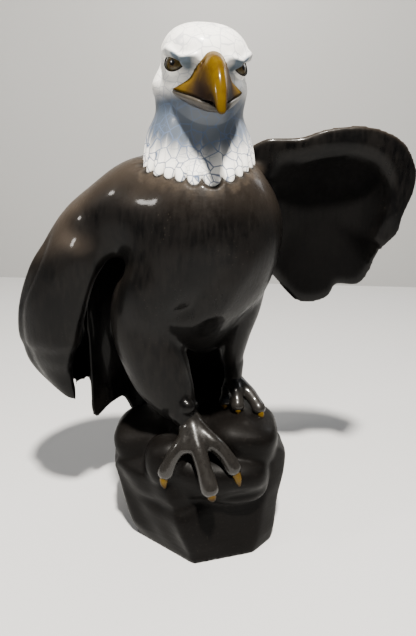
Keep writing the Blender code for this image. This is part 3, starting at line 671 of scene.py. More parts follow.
def head_solid(rings, step):
    """Solid of rings given from the head's centre, closed by each end's middle, the last one moved a step."""
    first, last = (np.repeat(rings[[end]].mean(1, keepdims=True), rings.shape[1], 1) for end in (0, -1))
    return ring_solid(from_head(np.concatenate([first, rings, last + step])))


def bill_piece(material):
    """Upper bill: half of each section runs from the ridge to the mouth's edge along a quarter ellipse that
    flares low down, and the underside closes it; stations follow the hooked profile."""
    rows, half = 110, 44
    ridge, edge, high, low, square = np.split(smooth_rows(BILL, rows), [2, 4, 5, 6], axis=1)
    power = 2 / square
    part = np.linspace(0, 1, half)[None]
    across = np.sin(0.5 * np.pi * part) ** power * (high + (low - high) * part ** 6)
    drop = 1 - np.cos(0.5 * np.pi * np.minimum(part, 0.9999)) ** power
    profile = ridge[:, None] + drop[..., None] * (edge - ridge)[:, None]
    forward, up = profile[..., 0], profile[..., 1]
    lip = bell(part, 0.93, 0.07) * ease((46 - forward) / 12)
    wrinkle = (np.sin((forward + 0.35 * up + 0.8 * np.sin(0.5 * up)) * 1.9) * bell(forward, 37, 5.0)
               * ease((up + 12) / 9))
    nostril = bell(forward - 0.55 * (up + 1), 42.0, 1.5) * bell(up, -1.0, 3.0)
    groove = bell(forward - 0.2 * up, 46.0, 1.1) * ease((up + 14) / 8) * bell(part, 0.6, 0.35)
    across = across + lip + 0.35 * wrinkle - 1.5 * nostril - 0.25 * groove
    under = np.linspace(1, -1, 16)[None, 1:-1]
    flat = np.zeros((rows, under.shape[1]))
    below = np.stack([edge[:, :1] + flat, low * under, edge[:, 1:] + 1.6 * (1 - under ** 2)], -1)
    rings = full_section(np.stack([forward, across, up], -1), below, [1, -1, 1])
    points, faces = head_solid(rings, [0, 0, -0.15])
    # Painted shade: brown on the bill's flanks, starting later on the bird's right (0.68) as the light falls
    # unevenly.
    flank_shade_and_dark_tip = full_section(part + 0 * forward, 1 + flat, 0.68)
    whole = 1 - ease((np.linspace(0, 1, rows)[:, None] - 0.78) / 0.10)
    shades = {"flank_shade_and_dark_tip": whole * ease((flank_shade_and_dark_tip - 0.22) / 0.34) * ease((rings[..., 0] - 34) / 10),
              # Painted shade: near black along the mouth's edge, where the gap between the bills lies in
              # shade.
              "mouth": full_section(ease((part - 0.66) / 0.26) * bell(forward, 49, 7), 1 + flat),
              "cut": full_section(np.clip(nostril + 0.6 * np.clip(-wrinkle, 0, 1), 0, 1), flat)}
    shades = {key: np.hstack([field.ravel(), field[0].mean(), field[-1].mean()])
              for key, field in shades.items()}
    return piece_of("bill_above", points, faces, material, ("bill_upper",),
                    {**shades, "forward": np.clip(to_head(points)[:, 0] / 65.0, 0, 1)})


def jaw_piece(material):
    """Lower bill: a trough that follows the mouth line, level on top with a raised lip and round beneath."""
    top, foot, wide = np.split(smooth_rows(JAW, 60), [2, 4], axis=1)
    part = np.linspace(0, 1, 28)[None]
    lip = bell(part, 0.9, 0.1)
    across = wide * np.sin(0.5 * np.pi * part) ** 0.7 + 0.5 * lip
    profile = foot[:, None] + (part[..., None] ** 2.2) * (top - foot)[:, None]
    over = np.linspace(1, -1, 14)[None, 1:-1]
    lid = np.stack([top[:, :1] + 0 * over, wide * over, top[:, 1:] - 1.4 * (1 - over ** 2)], -1)
    rings = full_section(np.stack([profile[..., 0], across, profile[..., 1]], -1), lid, [1, -1, 1])
    points, faces = head_solid(rings, [1.2, 0, 0])
    lips = full_section(lip + 0 * across, 0.6 + 0 * lid[..., 0])
    return piece_of("bill_below", points, faces, material, ("bill_lower",),
                    {"lip": np.hstack([lips.ravel(), 0, 0])})


# ---------------------------------------------------------------- body

def shell_grids(columns, rows):
    """Outer and inner faces of the drooping wing: plan arcs stacked by height, thicker at the rolled edge."""
    across, down = close_ends(columns)[None], close_ends(rows)[:, None]
    arcs = smooth_rows(SHELL_ARCS, 400)
    height, x, y, wide, deep = (np.interp(399 * down, np.arange(400), column) for column in arcs.T)
    front = SHELL_FRONT + 20 * ease((height - 232) / 24)
    bend = np.radians(front + (SHELL_REAR - front) * across)
    thick = SHELL_THICK + SHELL_ROLL * np.exp(-(across / 0.16) ** 2)
    half = 0.5 * sheet_edge(across, down) * thick * ease(0.25 + wide / 36) + 0.5
    lift = 10 * ease((across - 0.35) / 0.5) * ease((170 - height) / 60)
    scallop = (3.0 * ease((150 - height) / 35) * ease((across - 0.3) / 0.2)
               * np.abs(np.sin(across * 4.5 * np.pi)))
    return [np.stack([x - (wide + sign * half) * np.cos(bend), y + (deep + sign * half) * np.sin(bend),
                      height + lift - scallop], -1) for sign in (1, -1)]


def inner_grids(columns, rows):
    """Faces of the inner feathers, hanging to a pointed lower edge in three soft flutes."""
    across, down = close_ends(columns)[None], np.linspace(0, 1, rows)[:, None]
    foot = np.interp(across, *np.transpose(INNER_FOOT))
    for _ in range(3):
        foot = 0.5 * foot + 0.25 * (np.roll(foot, 1, 1) + np.roll(foot, -1, 1))
        foot[:, 0], foot[:, -1] = foot[:, 1], foot[:, -2]
    flute = 1.6 * np.sin(across * 3.6 * np.pi) * ease(down / 0.5)
    x, y = (start + (end - start) * across for start, end in zip(INNER_LEFT, INNER_RIGHT))
    y = y + 6 * np.sin(np.pi * across) + flute
    height = INNER_TOP + (foot - INNER_TOP) * down
    half = 4.2 * sheet_edge(across, down) + 0.6
    return [np.stack([x + 0 * down, y + sign * half, height], -1) for sign in (-1, 1)]


def rear_grids(columns, rows):
    """Faces of the short sheet of rear feathers below the drooping wing's rear edge, scalloped below."""
    across, down = np.linspace(0, 1, columns)[None, :, None], np.linspace(0, 1, rows)[:, None, None]
    above, below = (ends[0] + across * (ends[1] - ends[0]) for ends in (REAR_TOP, REAR_FOOT))
    middle = above + down * (below - above) + down * (3 - 3 * np.abs(np.sin(2 * np.pi * across))) * [0, 0, 1]
    half = 0.5 * REAR_THICK * sheet_edge(across, down) + 0.6
    return [middle + sign * half * [0, 1, 0] for sign in (-1, 1)]


def tail_grids(columns, rows):
    """Faces of the tail: a fan that widens and thins to rounded feather ends, ridged along each feather."""
    across, down = np.linspace(-1, 1, columns)[None], np.linspace(0, 1, rows)[:, None]
    feather = np.abs(np.sin(3.5 * np.pi * (across + 1)))
    run = TAIL_FOOT - TAIL_TOP
    half_width = TAIL_HALF_TOP + (TAIL_HALF_FOOT - TAIL_HALF_TOP) * down ** 0.8
    x = TAIL_TOP[0] + run[0] * down + half_width * across
    y = TAIL_TOP[1] + run[1] * down ** 0.7 - 9 * across ** 2 * down
    z = TAIL_TOP[2] + (run[2] + 4 - 4 * feather ** 0.6 + 16 * across ** 4) * down
    half = 0.5 * sheet_edge(0.5 + 0.5 * across, down) * (TAIL_THICK - 4 * down) + 0.05
    ridge = feather * ease(down / 0.3)
    return [np.stack([x, y - half, z], -1), np.stack([x, y + half + ridge, z], -1)]


def raised_part(points):
    """Place of points across the raised wing: part of the way from centre to outline, and the angle."""
    outline = smooth_rows(RAISED_OUTLINE, 720, closed=True) - RAISED_CENTRE
    turn = np.arctan2(outline[:, 1], outline[:, 0])
    order = np.argsort(turn)
    offset = points[..., [0, 2]] - RAISED_CENTRE
    around = np.arctan2(offset[..., 1], offset[..., 0])
    reach = np.interp(around, turn[order], np.linalg.norm(outline, axis=1)[order], period=2 * np.pi)
    return np.linalg.norm(offset, axis=-1) / reach, around


def raised_rings(count, sides):
    """Raised wing: its outline drawn in to the hollow, front face then back, with a rolled upper edge."""
    outline = smooth_rows(RAISED_OUTLINE, sides, closed=True) - RAISED_CENTRE
    part = np.sin(np.linspace(0, 0.5 * np.pi, count))
    part = np.hstack([part, part[-2::-1]])[:, None]
    front = np.where(np.arange(2 * count - 1) < count, -1.0, 1.0)[:, None]
    soft = outline
    for _ in range(400):
        soft = soft + 0.25 * (np.roll(soft, 1, 0) + np.roll(soft, -1, 0) - 2 * soft)
    sharp = (part ** 8)[..., None]
    plan = RAISED_CENTRE + part[..., None] * (sharp * outline + (1 - sharp) * soft)
    around = unit(outline)
    upward = around @ np.array([0.45, 0.89])
    rim = RAISED_RIM_Y + RAISED_LEAN * (1 - ease((upward + 0.55) / 0.7)) * ease((around[:, 0] + 0.9) / 0.6)
    y = RAISED_HOLLOW_Y + (rim - RAISED_HOLLOW_Y) * part ** 2.4
    edge = np.sqrt(np.clip(1 - part ** 10, 0, 1))
    roll = RAISED_ROLL * ease((upward + 0.15) / 0.7)[None] * bell(part, 0.80, 0.17) * edge
    y = y + front * 0.5 * RAISED_THICK * edge + np.where(front < 0, -roll, 0.2 * roll)
    return np.stack([plan[..., 0], y, plan[..., 1]], -1)


# Fillings that carry the breast into the arm and the belly into the thigh, and the folds' rounded edges
BREAST_FILL = [(-24, -22, 262, 28, 28), (-48, -10, 266, 28, 27), (-72, -1, 258, 26, 26),
               (-90, 5, 246, 20, 20)]
THIGH_FILL = [(-28, -24, 236, 27, 27), (-38, -22, 212, 26, 27), (-44, -17, 190, 24, 25),
              (-45, -14, 172, 17, 17)]
ANKLE_LEFT = [(22, 15, 144, 9.2, 11), (22.4, 16, 134, 8.2, 9.5), (22.5, 15.5, 127, 7.6, 8.2),
              (22.5, 14, 121, 7, 7)]
ANKLE = [(-28, -19.5, 132, 17, 15), (-22, -23, 123, 13.5, 12), (-16.5, -27, 115, 11, 9.5),
         (-13, -29.5, 109, 8.5, 7)]
ANKLE_LUMP = ((-14.5, -33.0, 124), (6.6, 5.0, 6.4), 2.0)
FOLD_EDGE = [(-44, -29, 266, 13, 11), (-56, -26, 258, 9, 8.5), (-66, -22, 249, 7.5, 7),
             (-75, -19, 239, 6.5, 6.5), (-84, -18, 228, 6, 6)]
LEAF_EDGE = [
    (-98, 2, 250, 8, 8), (-92, -7, 252, 9, 9), (-86, -13, 251, 10, 9), (-82, -18, 244, 9.5, 8.5),
    (-84, -20, 232, 8.5, 7.5), (-90, -19, 218, 7.5, 6.5), (-98, -15, 194, 6.5, 5.5),
    (-106, -8, 170, 5.5, 4.8), (-111, -3, 150, 4.8, 4.2), (-113, 1, 134, 4.0, 3.6),
    (-111, 4, 119, 3.4, 3.2), (-109.5, 5, 108, 3.0, 2.8),
]


def body_solids():
    """The closed forms that the dark skin joins: trunk, arms, both wings, legs, tail and their fillings."""
    upright = [(TRUNK, 90, 120), (LEG_RIGHT, 80, 90), (LEG_LEFT, 70, 80), (THIGH_FILL, 60, 80),
               (ANKLE, 40, 50), (ANKLE_LEFT, 40, 50)]
    level = [(ARM_RIGHT, 70, 90), (ARM_LEFT, 60, 60), (BREAST_FILL, 60, 80), (FOLD_EDGE, 60, 40),
             (LEAF_EDGE, 120, 40)]
    sheets = [shell_grids(120, 110), inner_grids(70, 60), rear_grids(40, 40), tail_grids(100, 60)]
    return ([ring_solid(tube(*form)) for form in upright]
            + [ring_solid(tube(*form, DEPTH_WAY)) for form in level]
            + [sheet_solid(*grids) for grids in sheets]
            + [ring_solid(lump(*ANKLE_LUMP)), ring_solid(raised_rings(60, 260))])


def shell_place(points):
    """Angle in degrees round the drooping wing's uppermost arc, and mm outward from that arc."""
    x, y, wide, deep = SHELL_ARCS[0][1:]
    across, back = -(points[:, 0] - x) / wide, (points[:, 1] - y) / deep
    return np.degrees(np.arctan2(back, across)), (np.hypot(across, back) - 1) * wide


# Line where the drooping wing's leaf lies over the arm, x and z seen from the front
LEAF_LINE = np.array([(-122, 268), (-112, 272), (-103, 270.5), (-95, 266), (-89, 259), (-85.5, 250),
                      (-87, 240), (-93, 226)])


def line_gap(points, line):
    """Distance in x and z from each point to a line, positive on the left of the way along it."""
    flat = points[:, [0, 2]]
    best, gap = np.full(len(points), 1e9), np.zeros(len(points))
    for start, end in zip(line[:-1], line[1:]):
        along = end - start
        part = np.clip(((flat - start) @ along) / (along @ along), 0, 1)
        away = flat - start - part[:, None] * along
        size = np.linalg.norm(away, axis=1)
        side = np.sign(along[0] * away[:, 1] - along[1] * away[:, 0])
        best, gap = np.minimum(size, best), np.where(size < best, size * side, gap)
    return gap


def body_relief(points, normals):
    """Height in mm of the modelling above the plain form: the leaf's lap over the arm, the step where the
    coverts end, the flutes below it, the fold along the wing's rear, the shallow folds of the breast and
    the crease between belly and thigh."""
    x, y, z = points.T
    facing = -normals[:, 1]
    turn, proud = shell_place(points)
    outer = ease(proud / 3) * ease((70 - proud) / 40) * (z < 262) * (z > 96)
    outer = outer * ease((turn + 100) / 12) * ease((132 - turn) / 10) * (x < -60)
    step = 152 + 4.0 * np.abs(np.sin(np.radians(turn * 2.0 + 20)))
    coverts = 2.6 * ease((z - step) / 10.0) * ease((215 - z) / 60) + 0.7 * bell(z, step + 13, 9)
    flutes = 0.7 * np.sin(np.radians(turn * 7.0 + 0.9 * z)) * ease((150 - z) / 12)
    fold = -9.0 - 15.0 * ease((z - 190) / 42)
    rear = (2.2 * bell(turn, fold + 8.5, 5.5) - 2.4 * bell(turn, fold, 4.5)) * ease((258 - z) / 24)
    relief = (coverts + flutes + rear * ease((z - 120) / 30)) * outer
    gap = line_gap(points, LEAF_LINE)
    lap = 1.4 * ease((4.0 - gap) / 8.0) * np.exp(-(np.minimum(gap, 0) / 14.0) ** 2) - 0.8 * bell(gap, 4, 4)
    lap = lap * ease(2.0 * facing) * (y < 12) * ease((z - 226) / 14)
    relief += lap * ease((-78 - x) / 8) * ease((x + 108) / 16)
    breast = ease((facing - 0.2) * 2) * ease((z - 175) / 25) * ease((258 - z) / 25)
    breast = breast * ease((x + 44) / 20) * ease((40 - x) / 20)
    relief += 0.5 * np.sin(0.085 * x + 0.045 * z + 1.0) * np.sin(0.060 * z - 0.03 * x) * breast
    aside = x + 3 - 0.56 * (z - 222)
    belly = ease((facing - 0.1) * 2) * ease((z - 192) / 12) * ease((256 - z) / 28) * (y < 10)
    dent = 2.6 + 2.4 * ease((236 - z) / 40)
    return relief + (1.8 * bell(aside, 19, 9) - dent * bell(aside, 0, 9)) * belly


def dark_skin(material):
    """Trunk, legs, wings and tail as one glazed skin, its joins relaxed into one another and its upper edge
    drawn in under the collar."""
    points, quads = joined_skin(body_solids(), BODY_VOXEL)
    joins = bell_map(points, JOINS) * (1 - ease((points[:, 0] - 70) / 15))
    points = relaxed(points, quads, FORM_ROUNDS)
    points = relaxed(points, quads, JOIN_ROUNDS, joins, volume=False)
    points = relaxed(points, quads, MELT_ROUNDS, bell_map(points, MELTS), volume=False)
    normals = normals_of(points, quads)
    points = points + blurred(body_relief(points, normals), quads, 5)[:, None] * normals
    shoulder = ease((points[:, 2] - 222) / 16) * ease((30 - points[:, 0]) / 14)
    shoulder = shoulder * (0.25 + 0.75 * ease((points[:, 0] + 88) / 16))
    points = relaxed(points, quads, SHOULDER_ROUNDS, shoulder, volume=False)
    angle, away = round_neck(points)
    cover = neck_reach(angle, points[:, 2]) - COLLAR_COVER
    x, y, wide, deep = section_at(TRUNK, points[:, 2])
    within = ease((1.30 - np.hypot((points[:, 0] - x) / wide, (points[:, 1] - y) / deep)) / 0.12)
    gap = collar_edge(angle)[0] - points[:, 2]
    under = ease((1.8 - gap) / 3.6) * (away > cover) * within
    shrink = 1 + (cover / away - 1) * under
    points[:, :2] = NECK_AXIS + (points[:, :2] - NECK_AXIS) * shrink[:, None]
    near = (away < cover + 9) * (gap > -3)
    # Painted light: brown laid on high, upward-facing forms where the light from above falls, most on the
    # drooping wing's leaf top, none in the painted shade.
    brown = ease((points[:, 2] - 175) / 90) * ease((normals[:, 2] - 0.05) / 0.85)
    brown = brown * (1 + near_to(points, (-100, -2, 258), 30))
    # Painted shade: near black in the hollows and on the undersides, held out of the painted brown light.
    deep = blurred(hollows(points, normals_of(points, quads)), quads, 3)
    return piece_of("eagle_body", points, quads.tolist(), material,
                    ("trunk", "wing_left", "wing_right", "inner_feathers_right", "tail",
                     "leg_left", "leg_right"),
                    {"halo": np.exp(-(np.maximum(gap - 1.5, 0) / 5.0) ** 1.5) * near,
                     # Painted shade: a thin dark line just under the collar's edge, where its overhang shades
                     # the trunk.
                     "collar_shade_line": bell(gap, -0.4, 1.5) * near, "brown": brown * (1 - deep), "deep": deep})


def hollows(points, normals):
    """One where painted shade is laid and the glaze made dull: in the raised wing's hollow, inside the
    drooping wing, and on the undersides round the legs and tail, where shade falls."""
    x, y, z = points.T
    facing = -normals[:, 1]
    part, around = raised_part(points)
    band = 0.74 + 0.22 * ease((-np.sin(around + 0.25) + 0.1) / 0.5)
    lifted = ease((band - part) / 0.12) * ease((x - 36) / 20) * ease(facing * 3) * ease((y - 8) / 10)
    proud = shell_place(points)[1]
    inside = ease(-proud / 4) * ease((-50 - x) / 8) * ease((252 - z) / 12) * (z > 70)
    below = 0.8 * ease((-normals[:, 2] - 0.15) / 0.8) * ease((210 - z) / 40)
    rear = ease((y - 22) / 14) * ease((175 - z) / 25) * ease(facing * 2) * (x > -60)
    return np.maximum.reduce([lifted, inside, below, rear])


# Where forms run into each other and are relaxed: x, y, z, spread and strength. First where the top of the
# drooping wing's leaf melts into the arm and the thigh's filling into the leg, then all the body's joins
MELTS = [(-97, -6, 258, 26, 1.0), (-46, -34, 178, 20, 0.8), (-108, 6, 112, 13, 0.5), (52, 28, 300, 20, 1.0)]
JOINS = [(*row, 1.0) for row in [
    (-42, -24, 285, 36), (-96, -6, 270, 26), (-112, 0, 246, 26), (-40, -36, 262, 30), (-58, -30, 262, 24),
    (-44, -38, 225, 26), (-36, -42, 205, 22), (-84, -14, 262, 16), (-104, 0, 262, 20), (24, -16, 215, 24),
    (22, 22, 290, 30), (-40, 30, 285, 30), (-10, 40, 190, 30), (-40, -4, 300, 20), (25, 8, 222, 20),
    (60, 40, 296, 30), (90, 44, 300, 26), (-64, 2, 210, 16), (-70, 12, 292, 24)]]


def bell_map(points, rows):
    """The highest of several bells at each point, each with its place, spread and strength."""
    return np.max([strength * near_to(points, place, size) for *place, size, strength in rows], axis=0)


# ---------------------------------------------------------------- feet and talons

def knuckled(rows, count):
    """Toe stations a little flatter than round, with two soft knuckles: bells that swell the radius."""
    table = smooth_rows([(x, y, z, radius, radius * 0.88) for x, y, z, radius in rows], count)
    part = np.linspace(0, 1, count)
    swell = 1 + 0.07 * bell(part, 0.45, 0.10) + 0.22 * bell(part, 0.98, 0.16) - 0.04 * bell(part, 0.70, 0.12)
    table[:, 3:] *= swell[:, None]
    return table


def talon_stations(rows, tip):
    """Stations of a talon, curving down from the toe's end to a point."""
    before, end = (np.array(row[:3], float) for row in rows[-2:])
    start = end + 0.12 * (end - before)
    middle = 0.5 * (start + tip) + 0.10 * (end - before)
    sizes = rows[-1][3] * np.array(TALON_SIZES)
    return [(*place, size, size) for place, size in zip((start, middle, tip), sizes)]


def foot_piece(side, material):
    """One foot: its toes and ankle joined in one skin and relaxed between the toes."""
    toes = TOES[side].values()
    root = np.mean([rows[0][:3] for rows, _ in toes], 0)
    if side == "right":
        shank = [(-18, -25.5, 119, 8, 7.5), (-14.5, -28, 114, 9, 8), (*root, 10, 8),
                 (-8.5, -40, 102, 12.5, 5.5), (-7.5, -46.5, 95.5, 13, 4.5)]
    else:
        shank = [(22.5, 17, 137, 5.5, 5.5), (*(0.5 * (root + [22.5, 14, 134])), 6.5, 6.5), (*root, 8, 7)]
    solids = [ring_solid(tube(knuckled(rows, 40), 40, 36, depth=1.0, caps=9)) for rows, _ in toes]
    points, quads = joined_skin(solids + [ring_solid(tube(shank, 20, 40))], FOOT_VOXEL)
    points = relaxed(points, quads, 12)
    points = relaxed(points, quads, 60, 0.15 + 0.85 * near_to(points, root, 18), volume=False)
    return piece_of("foot_and_toes_" + side, points, quads.tolist(), material,
                    ("foot_" + side,), {"halo": np.zeros(len(points)), "brown": np.full(len(points), 0.15)})


def talon_piece(side, toe, material):
    """One talon: a round horn that tapers along its curve to a blunt point."""
    rows, tip = TOES[side][toe]
    points, faces = ring_solid(tube(talon_stations(rows, tip), 24, 24))
    start = np.array(rows[-1][:3], float)
    part = np.linalg.norm(points - start, axis=1) / np.linalg.norm(tip - start)
    return piece_of("talon_%s_%s_glazed" % (side, toe), points, faces, material,
                    ("talon_%s_%s" % (side, toe),),
                    {"flank_shade_and_dark_tip": 0.05 + 0.8 * ease((part - 0.70) / 0.35), "cut": 0 * part,
                     "forward": 0.85 + 0 * part})


# ---------------------------------------------------------------- rock

def rock_reach(way):
    """Distance from the rock's centre to its face: many broken planes, softly joined."""
    faces = np.array(ROCK_FACES)
    closeness = (way @ unit(faces[:, :3]).T) / faces[:, 3]
    peak = closeness.max(-1, keepdims=True)
    soft = ROCK_EDGE * peak
    return 1.0 / (peak + soft * np.log(np.exp((closeness - peak) / soft).sum(-1, keepdims=True)))[..., 0]


def rock_body(count, sides):
    """The rock's main block: a fan of rings from its top to its rim, then its flat underside."""
    way = globe(np.linspace(0, 0.5 * np.pi, count)[:, None], circle(sides)[None])
    return ROCK_CENTRE + np.concatenate([way * rock_reach(way)[..., None], 0 * way[:1]])


def lump(centre, radii, power, tilt=(0, 0, 0)):
    """Boulder: a squarish ellipsoid, turned by its tilt in degrees."""
    way = globe(np.linspace(0, np.pi, 50)[:, None], circle(80)[None])
    reach = (np.abs(way / radii) ** power).sum(-1) ** (-1 / power)
    turn = np.array(Euler(np.radians(tilt)).to_matrix())
    return np.asarray(centre) + (way * reach[..., None]) @ turn.T


# Boulders: centre, radii, squareness and tilt
ROCK_LUMPS = [
    ((-48, 4, 78), (29, 30, 20), 2.9, (0, -8, 0)), ((-29, -33, 77), (19, 18, 21), 2.2),
    ((8, -20, 67), (44, 32, 21), 3.6, (10, 3, 0)), ((30, -4, 87), (30, 34, 20), 3.0, (0, 6, 0)),
    ((0, 20, 82), (50, 42, 22), 3.2), ((-14, -22, 86), (17, 14, 14), 2.2),
]


def rock_piece(material):
    """The rock: its block and boulders joined in one skin, relaxed where they meet and laid flat below."""
    solids = [ring_solid(rock_body(90, 220))] + [ring_solid(lump(*each)) for each in ROCK_LUMPS]
    points, quads = joined_skin(solids, ROCK_VOXEL)
    points = relaxed(points, quads, 4)
    points = relaxed(points, quads, 3, volume=False)
    normals = normals_of(points, quads)
    x, y, z = points.T
    wave = (np.sin(0.070 * x + 0.045 * z + 1.3) * np.sin(0.060 * y - 0.075 * z + 0.4)
            + 0.4 * np.sin(0.16 * x - 0.11 * y + 0.13 * z))
    lip = 50 + 0.10 * x + 4 * np.sin(0.05 * x)
    groove = bell(z, lip, 6) * ease((-normals[:, 1] - 0.2) * 2) * ease((60 - np.abs(x)) / 20)
    points = points + ((1.3 * wave - 2.6 * groove) * ease(z / 14))[:, None] * normals
    points[:, 2] = np.where(points[:, 2] < ROCK_FLAT, 0.0, points[:, 2])
    # Painted light: the rock's brown tone is raised on its high, upward-facing tops, where the light from
    # above falls.
    high = ease((z - 70) / 30) * ease(normals[:, 2] * 1.5)
    return piece_of("rock", points, quads.tolist(), material, ("rock_base",),
                    {"brown": 0.08 + 0.10 * high})


# ---------------------------------------------------------------- glazes

class Glaze:
    """A node material built up in a few words."""

    def __init__(self, name, roughness, coat=0.0, coat_roughness=0.05, specular=0.5):
        self.material = bpy.data.materials.new(name)
        self.material.use_nodes = True
        self.tree = self.material.node_tree
        self.shader = self.tree.nodes["Principled BSDF"]
        self.fill(self.shader, {"Roughness": roughness, "Coat Weight": coat, "Coat Roughness": coat_roughness,
                                "Specular IOR Level": specular})
        self.place = self.node("ShaderNodeTexCoord", "Object")

    def fill(self, node, sockets):
        """Links each socket to its source, or writes its number, vector or colour."""
        for key, value in sockets.items():
            socket = node.inputs[key]
            if isinstance(value, bpy.types.NodeSocket):
                self.tree.links.new(value, socket)
            else:
                socket.default_value = (*value, 1.0) if socket.type == "RGBA" else value

    def node(self, kind, output=0, sockets=None, **settings):
        """The named output of a new node with its settings and its filled sockets."""
        node = self.tree.nodes.new(kind)
        for key, value in settings.items():
            setattr(node, key, value)
        self.fill(node, sockets or {})
        return node.outputs[output]

    def point(self, name, amount=None):
        """A point attribute of the piece, scaled if an amount is given."""
        value = self.node("ShaderNodeAttribute", "Fac", attribute_name=name)
        return value if amount is None else self.times(value, amount)

    def noise(self, scale, detail=3.0, rough=0.5):
        return self.node("ShaderNodeTexNoise", "Fac", {
            "Vector": self.place, "Scale": scale, "Detail": detail, "Roughness": rough})

    def cells(self, scale, feature="DISTANCE_TO_EDGE", source=None):
        return self.node("ShaderNodeTexVoronoi", "Distance", {
            "Vector": source or self.place, "Scale": scale}, feature=feature)

    def streaks(self, scale):
        """Noise drawn out along one axis."""
        drawn = self.node("ShaderNodeMapping", "Vector", {"Vector": self.place, "Scale": scale})
        return self.node("ShaderNodeTexNoise", "Fac", {"Vector": drawn, "Scale": 1.0})

    def span(self, value, low, high, to_low=0.0, to_high=1.0):
        """Soft step of a value between two numbers."""
        return self.node("ShaderNodeMapRange", "Result", {
            "Value": value, "From Min": low, "From Max": high, "To Min": to_low, "To Max": to_high},
            interpolation_type="SMOOTHSTEP")

    def math(self, operation, a, b):
        return self.node("ShaderNodeMath", 0, {0: a, 1: b}, operation=operation)

    def times(self, a, b):
        return self.math("MULTIPLY", a, b)

    def plus(self, a, b):
        return self.math("ADD", a, b)

    def mix(self, amount, first, second):
        """The first colour where the amount is 0, the second where it is 1."""
        return self.node("ShaderNodeMix", 2, {0: amount, 6: first, 7: second}, data_type="RGBA")

    def layers(self, colour, *coats):
        """A colour with others laid over it in turn, each as far as its amount says."""
        for amount, tone in coats:
            colour = self.mix(amount, colour, tone)
        return colour

    def finish(self, colour, roughness=None, bump=None, strength=0.1, distance=0.0005):
        """The material, with its colour, roughness and fine relief in place."""
        self.fill(self.shader, {"Base Color": colour})
        if roughness is not None:
            self.fill(self.shader, {"Roughness": roughness})
        if bump is not None:
            relief = {"Height": bump, "Strength": strength, "Distance": distance}
            self.fill(self.shader, {"Normal": self.node("ShaderNodeBump", "Normal", relief)})
        return self.material


def dark_glaze(name="dark brown glaze", coat=0.13, specular=0.06, lift=0.0):
    """Brown-black satin glaze: speckled, tan beneath the collar, with brown painted light on high forms and
    painted shade in its hollows and under the collar's edge.
    """
    glaze = Glaze(name, 0.40, coat, 0.10, specular)
    cloud, fine, strokes = glaze.noise(14, 4, 0.55), glaze.noise(420, 3, 0.6), glaze.streaks((330, 330, 80))
    deep = glaze.point("deep")
    patches = glaze.span(glaze.plus(glaze.noise(22, 3, 0.6), glaze.times(strokes, 0.5)), 0.62, 0.88)
    brown = glaze.times(glaze.point("brown"), glaze.span(cloud, 0.3, 0.75, 0.5, 1.0))
    specks = glaze.times(glaze.span(glaze.cells(300, "F1"), 0.05, 0.16, 1.0, 0.0),
                         glaze.span(glaze.noise(40, 2), 0.5, 0.62))
    halo = glaze.times(glaze.point("halo"), glaze.span(glaze.noise(160, 4, 0.7), 0.38, 0.62, 0.25, 1.0))
    colour = glaze.layers(
        # lift lightens every colour: painted light, for the feet's copy of this glaze.
        (0.0016 + lift, 0.0015 + lift, 0.0015 + 0.9 * lift),
        (patches, (0.0052 + lift, 0.0046 + lift, 0.0042 + 0.9 * lift)),
        # Painted light: brown on high upward-facing forms.
        (brown, (0.040, 0.031, 0.0235)), (glaze.times(specks, 0.3), (0.06, 0.05, 0.04)),
        # Painted shade: a dark line under the collar's edge.
        (halo, (0.040, 0.031, 0.023)), (glaze.point("collar_shade_line"), (0.004, 0.004, 0.004)),
        # Painted shade: near black where the deep attribute is set.
        (glaze.times(deep, 0.8), (0.0012, 0.0011, 0.0011)))
    rough = glaze.span(glaze.plus(cloud, glaze.times(fine, 0.4)), 0.4, 0.95, 0.22, 0.54)
    rough = glaze.math("SUBTRACT", glaze.plus(rough, glaze.times(strokes, 0.30)), 0.15)
    rough = glaze.plus(rough, glaze.times(deep, 0.35))
    glaze.fill(glaze.shader, {"Coat Weight": glaze.span(deep, 0.0, 1.0, coat, 0.0)})
    height = glaze.plus(fine, glaze.plus(glaze.times(cloud, 1.2), strokes))
    return glaze.finish(colour, rough, height, 0.20, 0.0006)


def rock_glaze():
    """Dull brown-black glaze of the rock: rough, with faint streaks and fine grit, its brown tone stronger as
    painted light on the upward tops.
    """
    glaze = Glaze("rock glaze", 0.55, specular=0.06)
    cloud, grit = glaze.noise(30, 5, 0.6), glaze.noise(700, 2, 0.6)
    brown = glaze.times(glaze.point("brown"), glaze.span(cloud, 0.3, 0.7, 0.4, 1.0))
    colour = glaze.layers(
        # Painted light: brown raised on the rock's upward tops.
        (0.0022, 0.0020, 0.0019), (brown, (0.014, 0.011, 0.009)),
        (glaze.times(glaze.span(grit, 0.60, 0.75), 0.5), (0.016, 0.014, 0.012)))
    height = glaze.plus(glaze.times(grit, 0.4), glaze.streaks((40, 160, 320)))
    return glaze.finish(colour, glaze.span(cloud, 0.3, 0.7, 0.34, 0.56), height, 0.30, 0.0006)


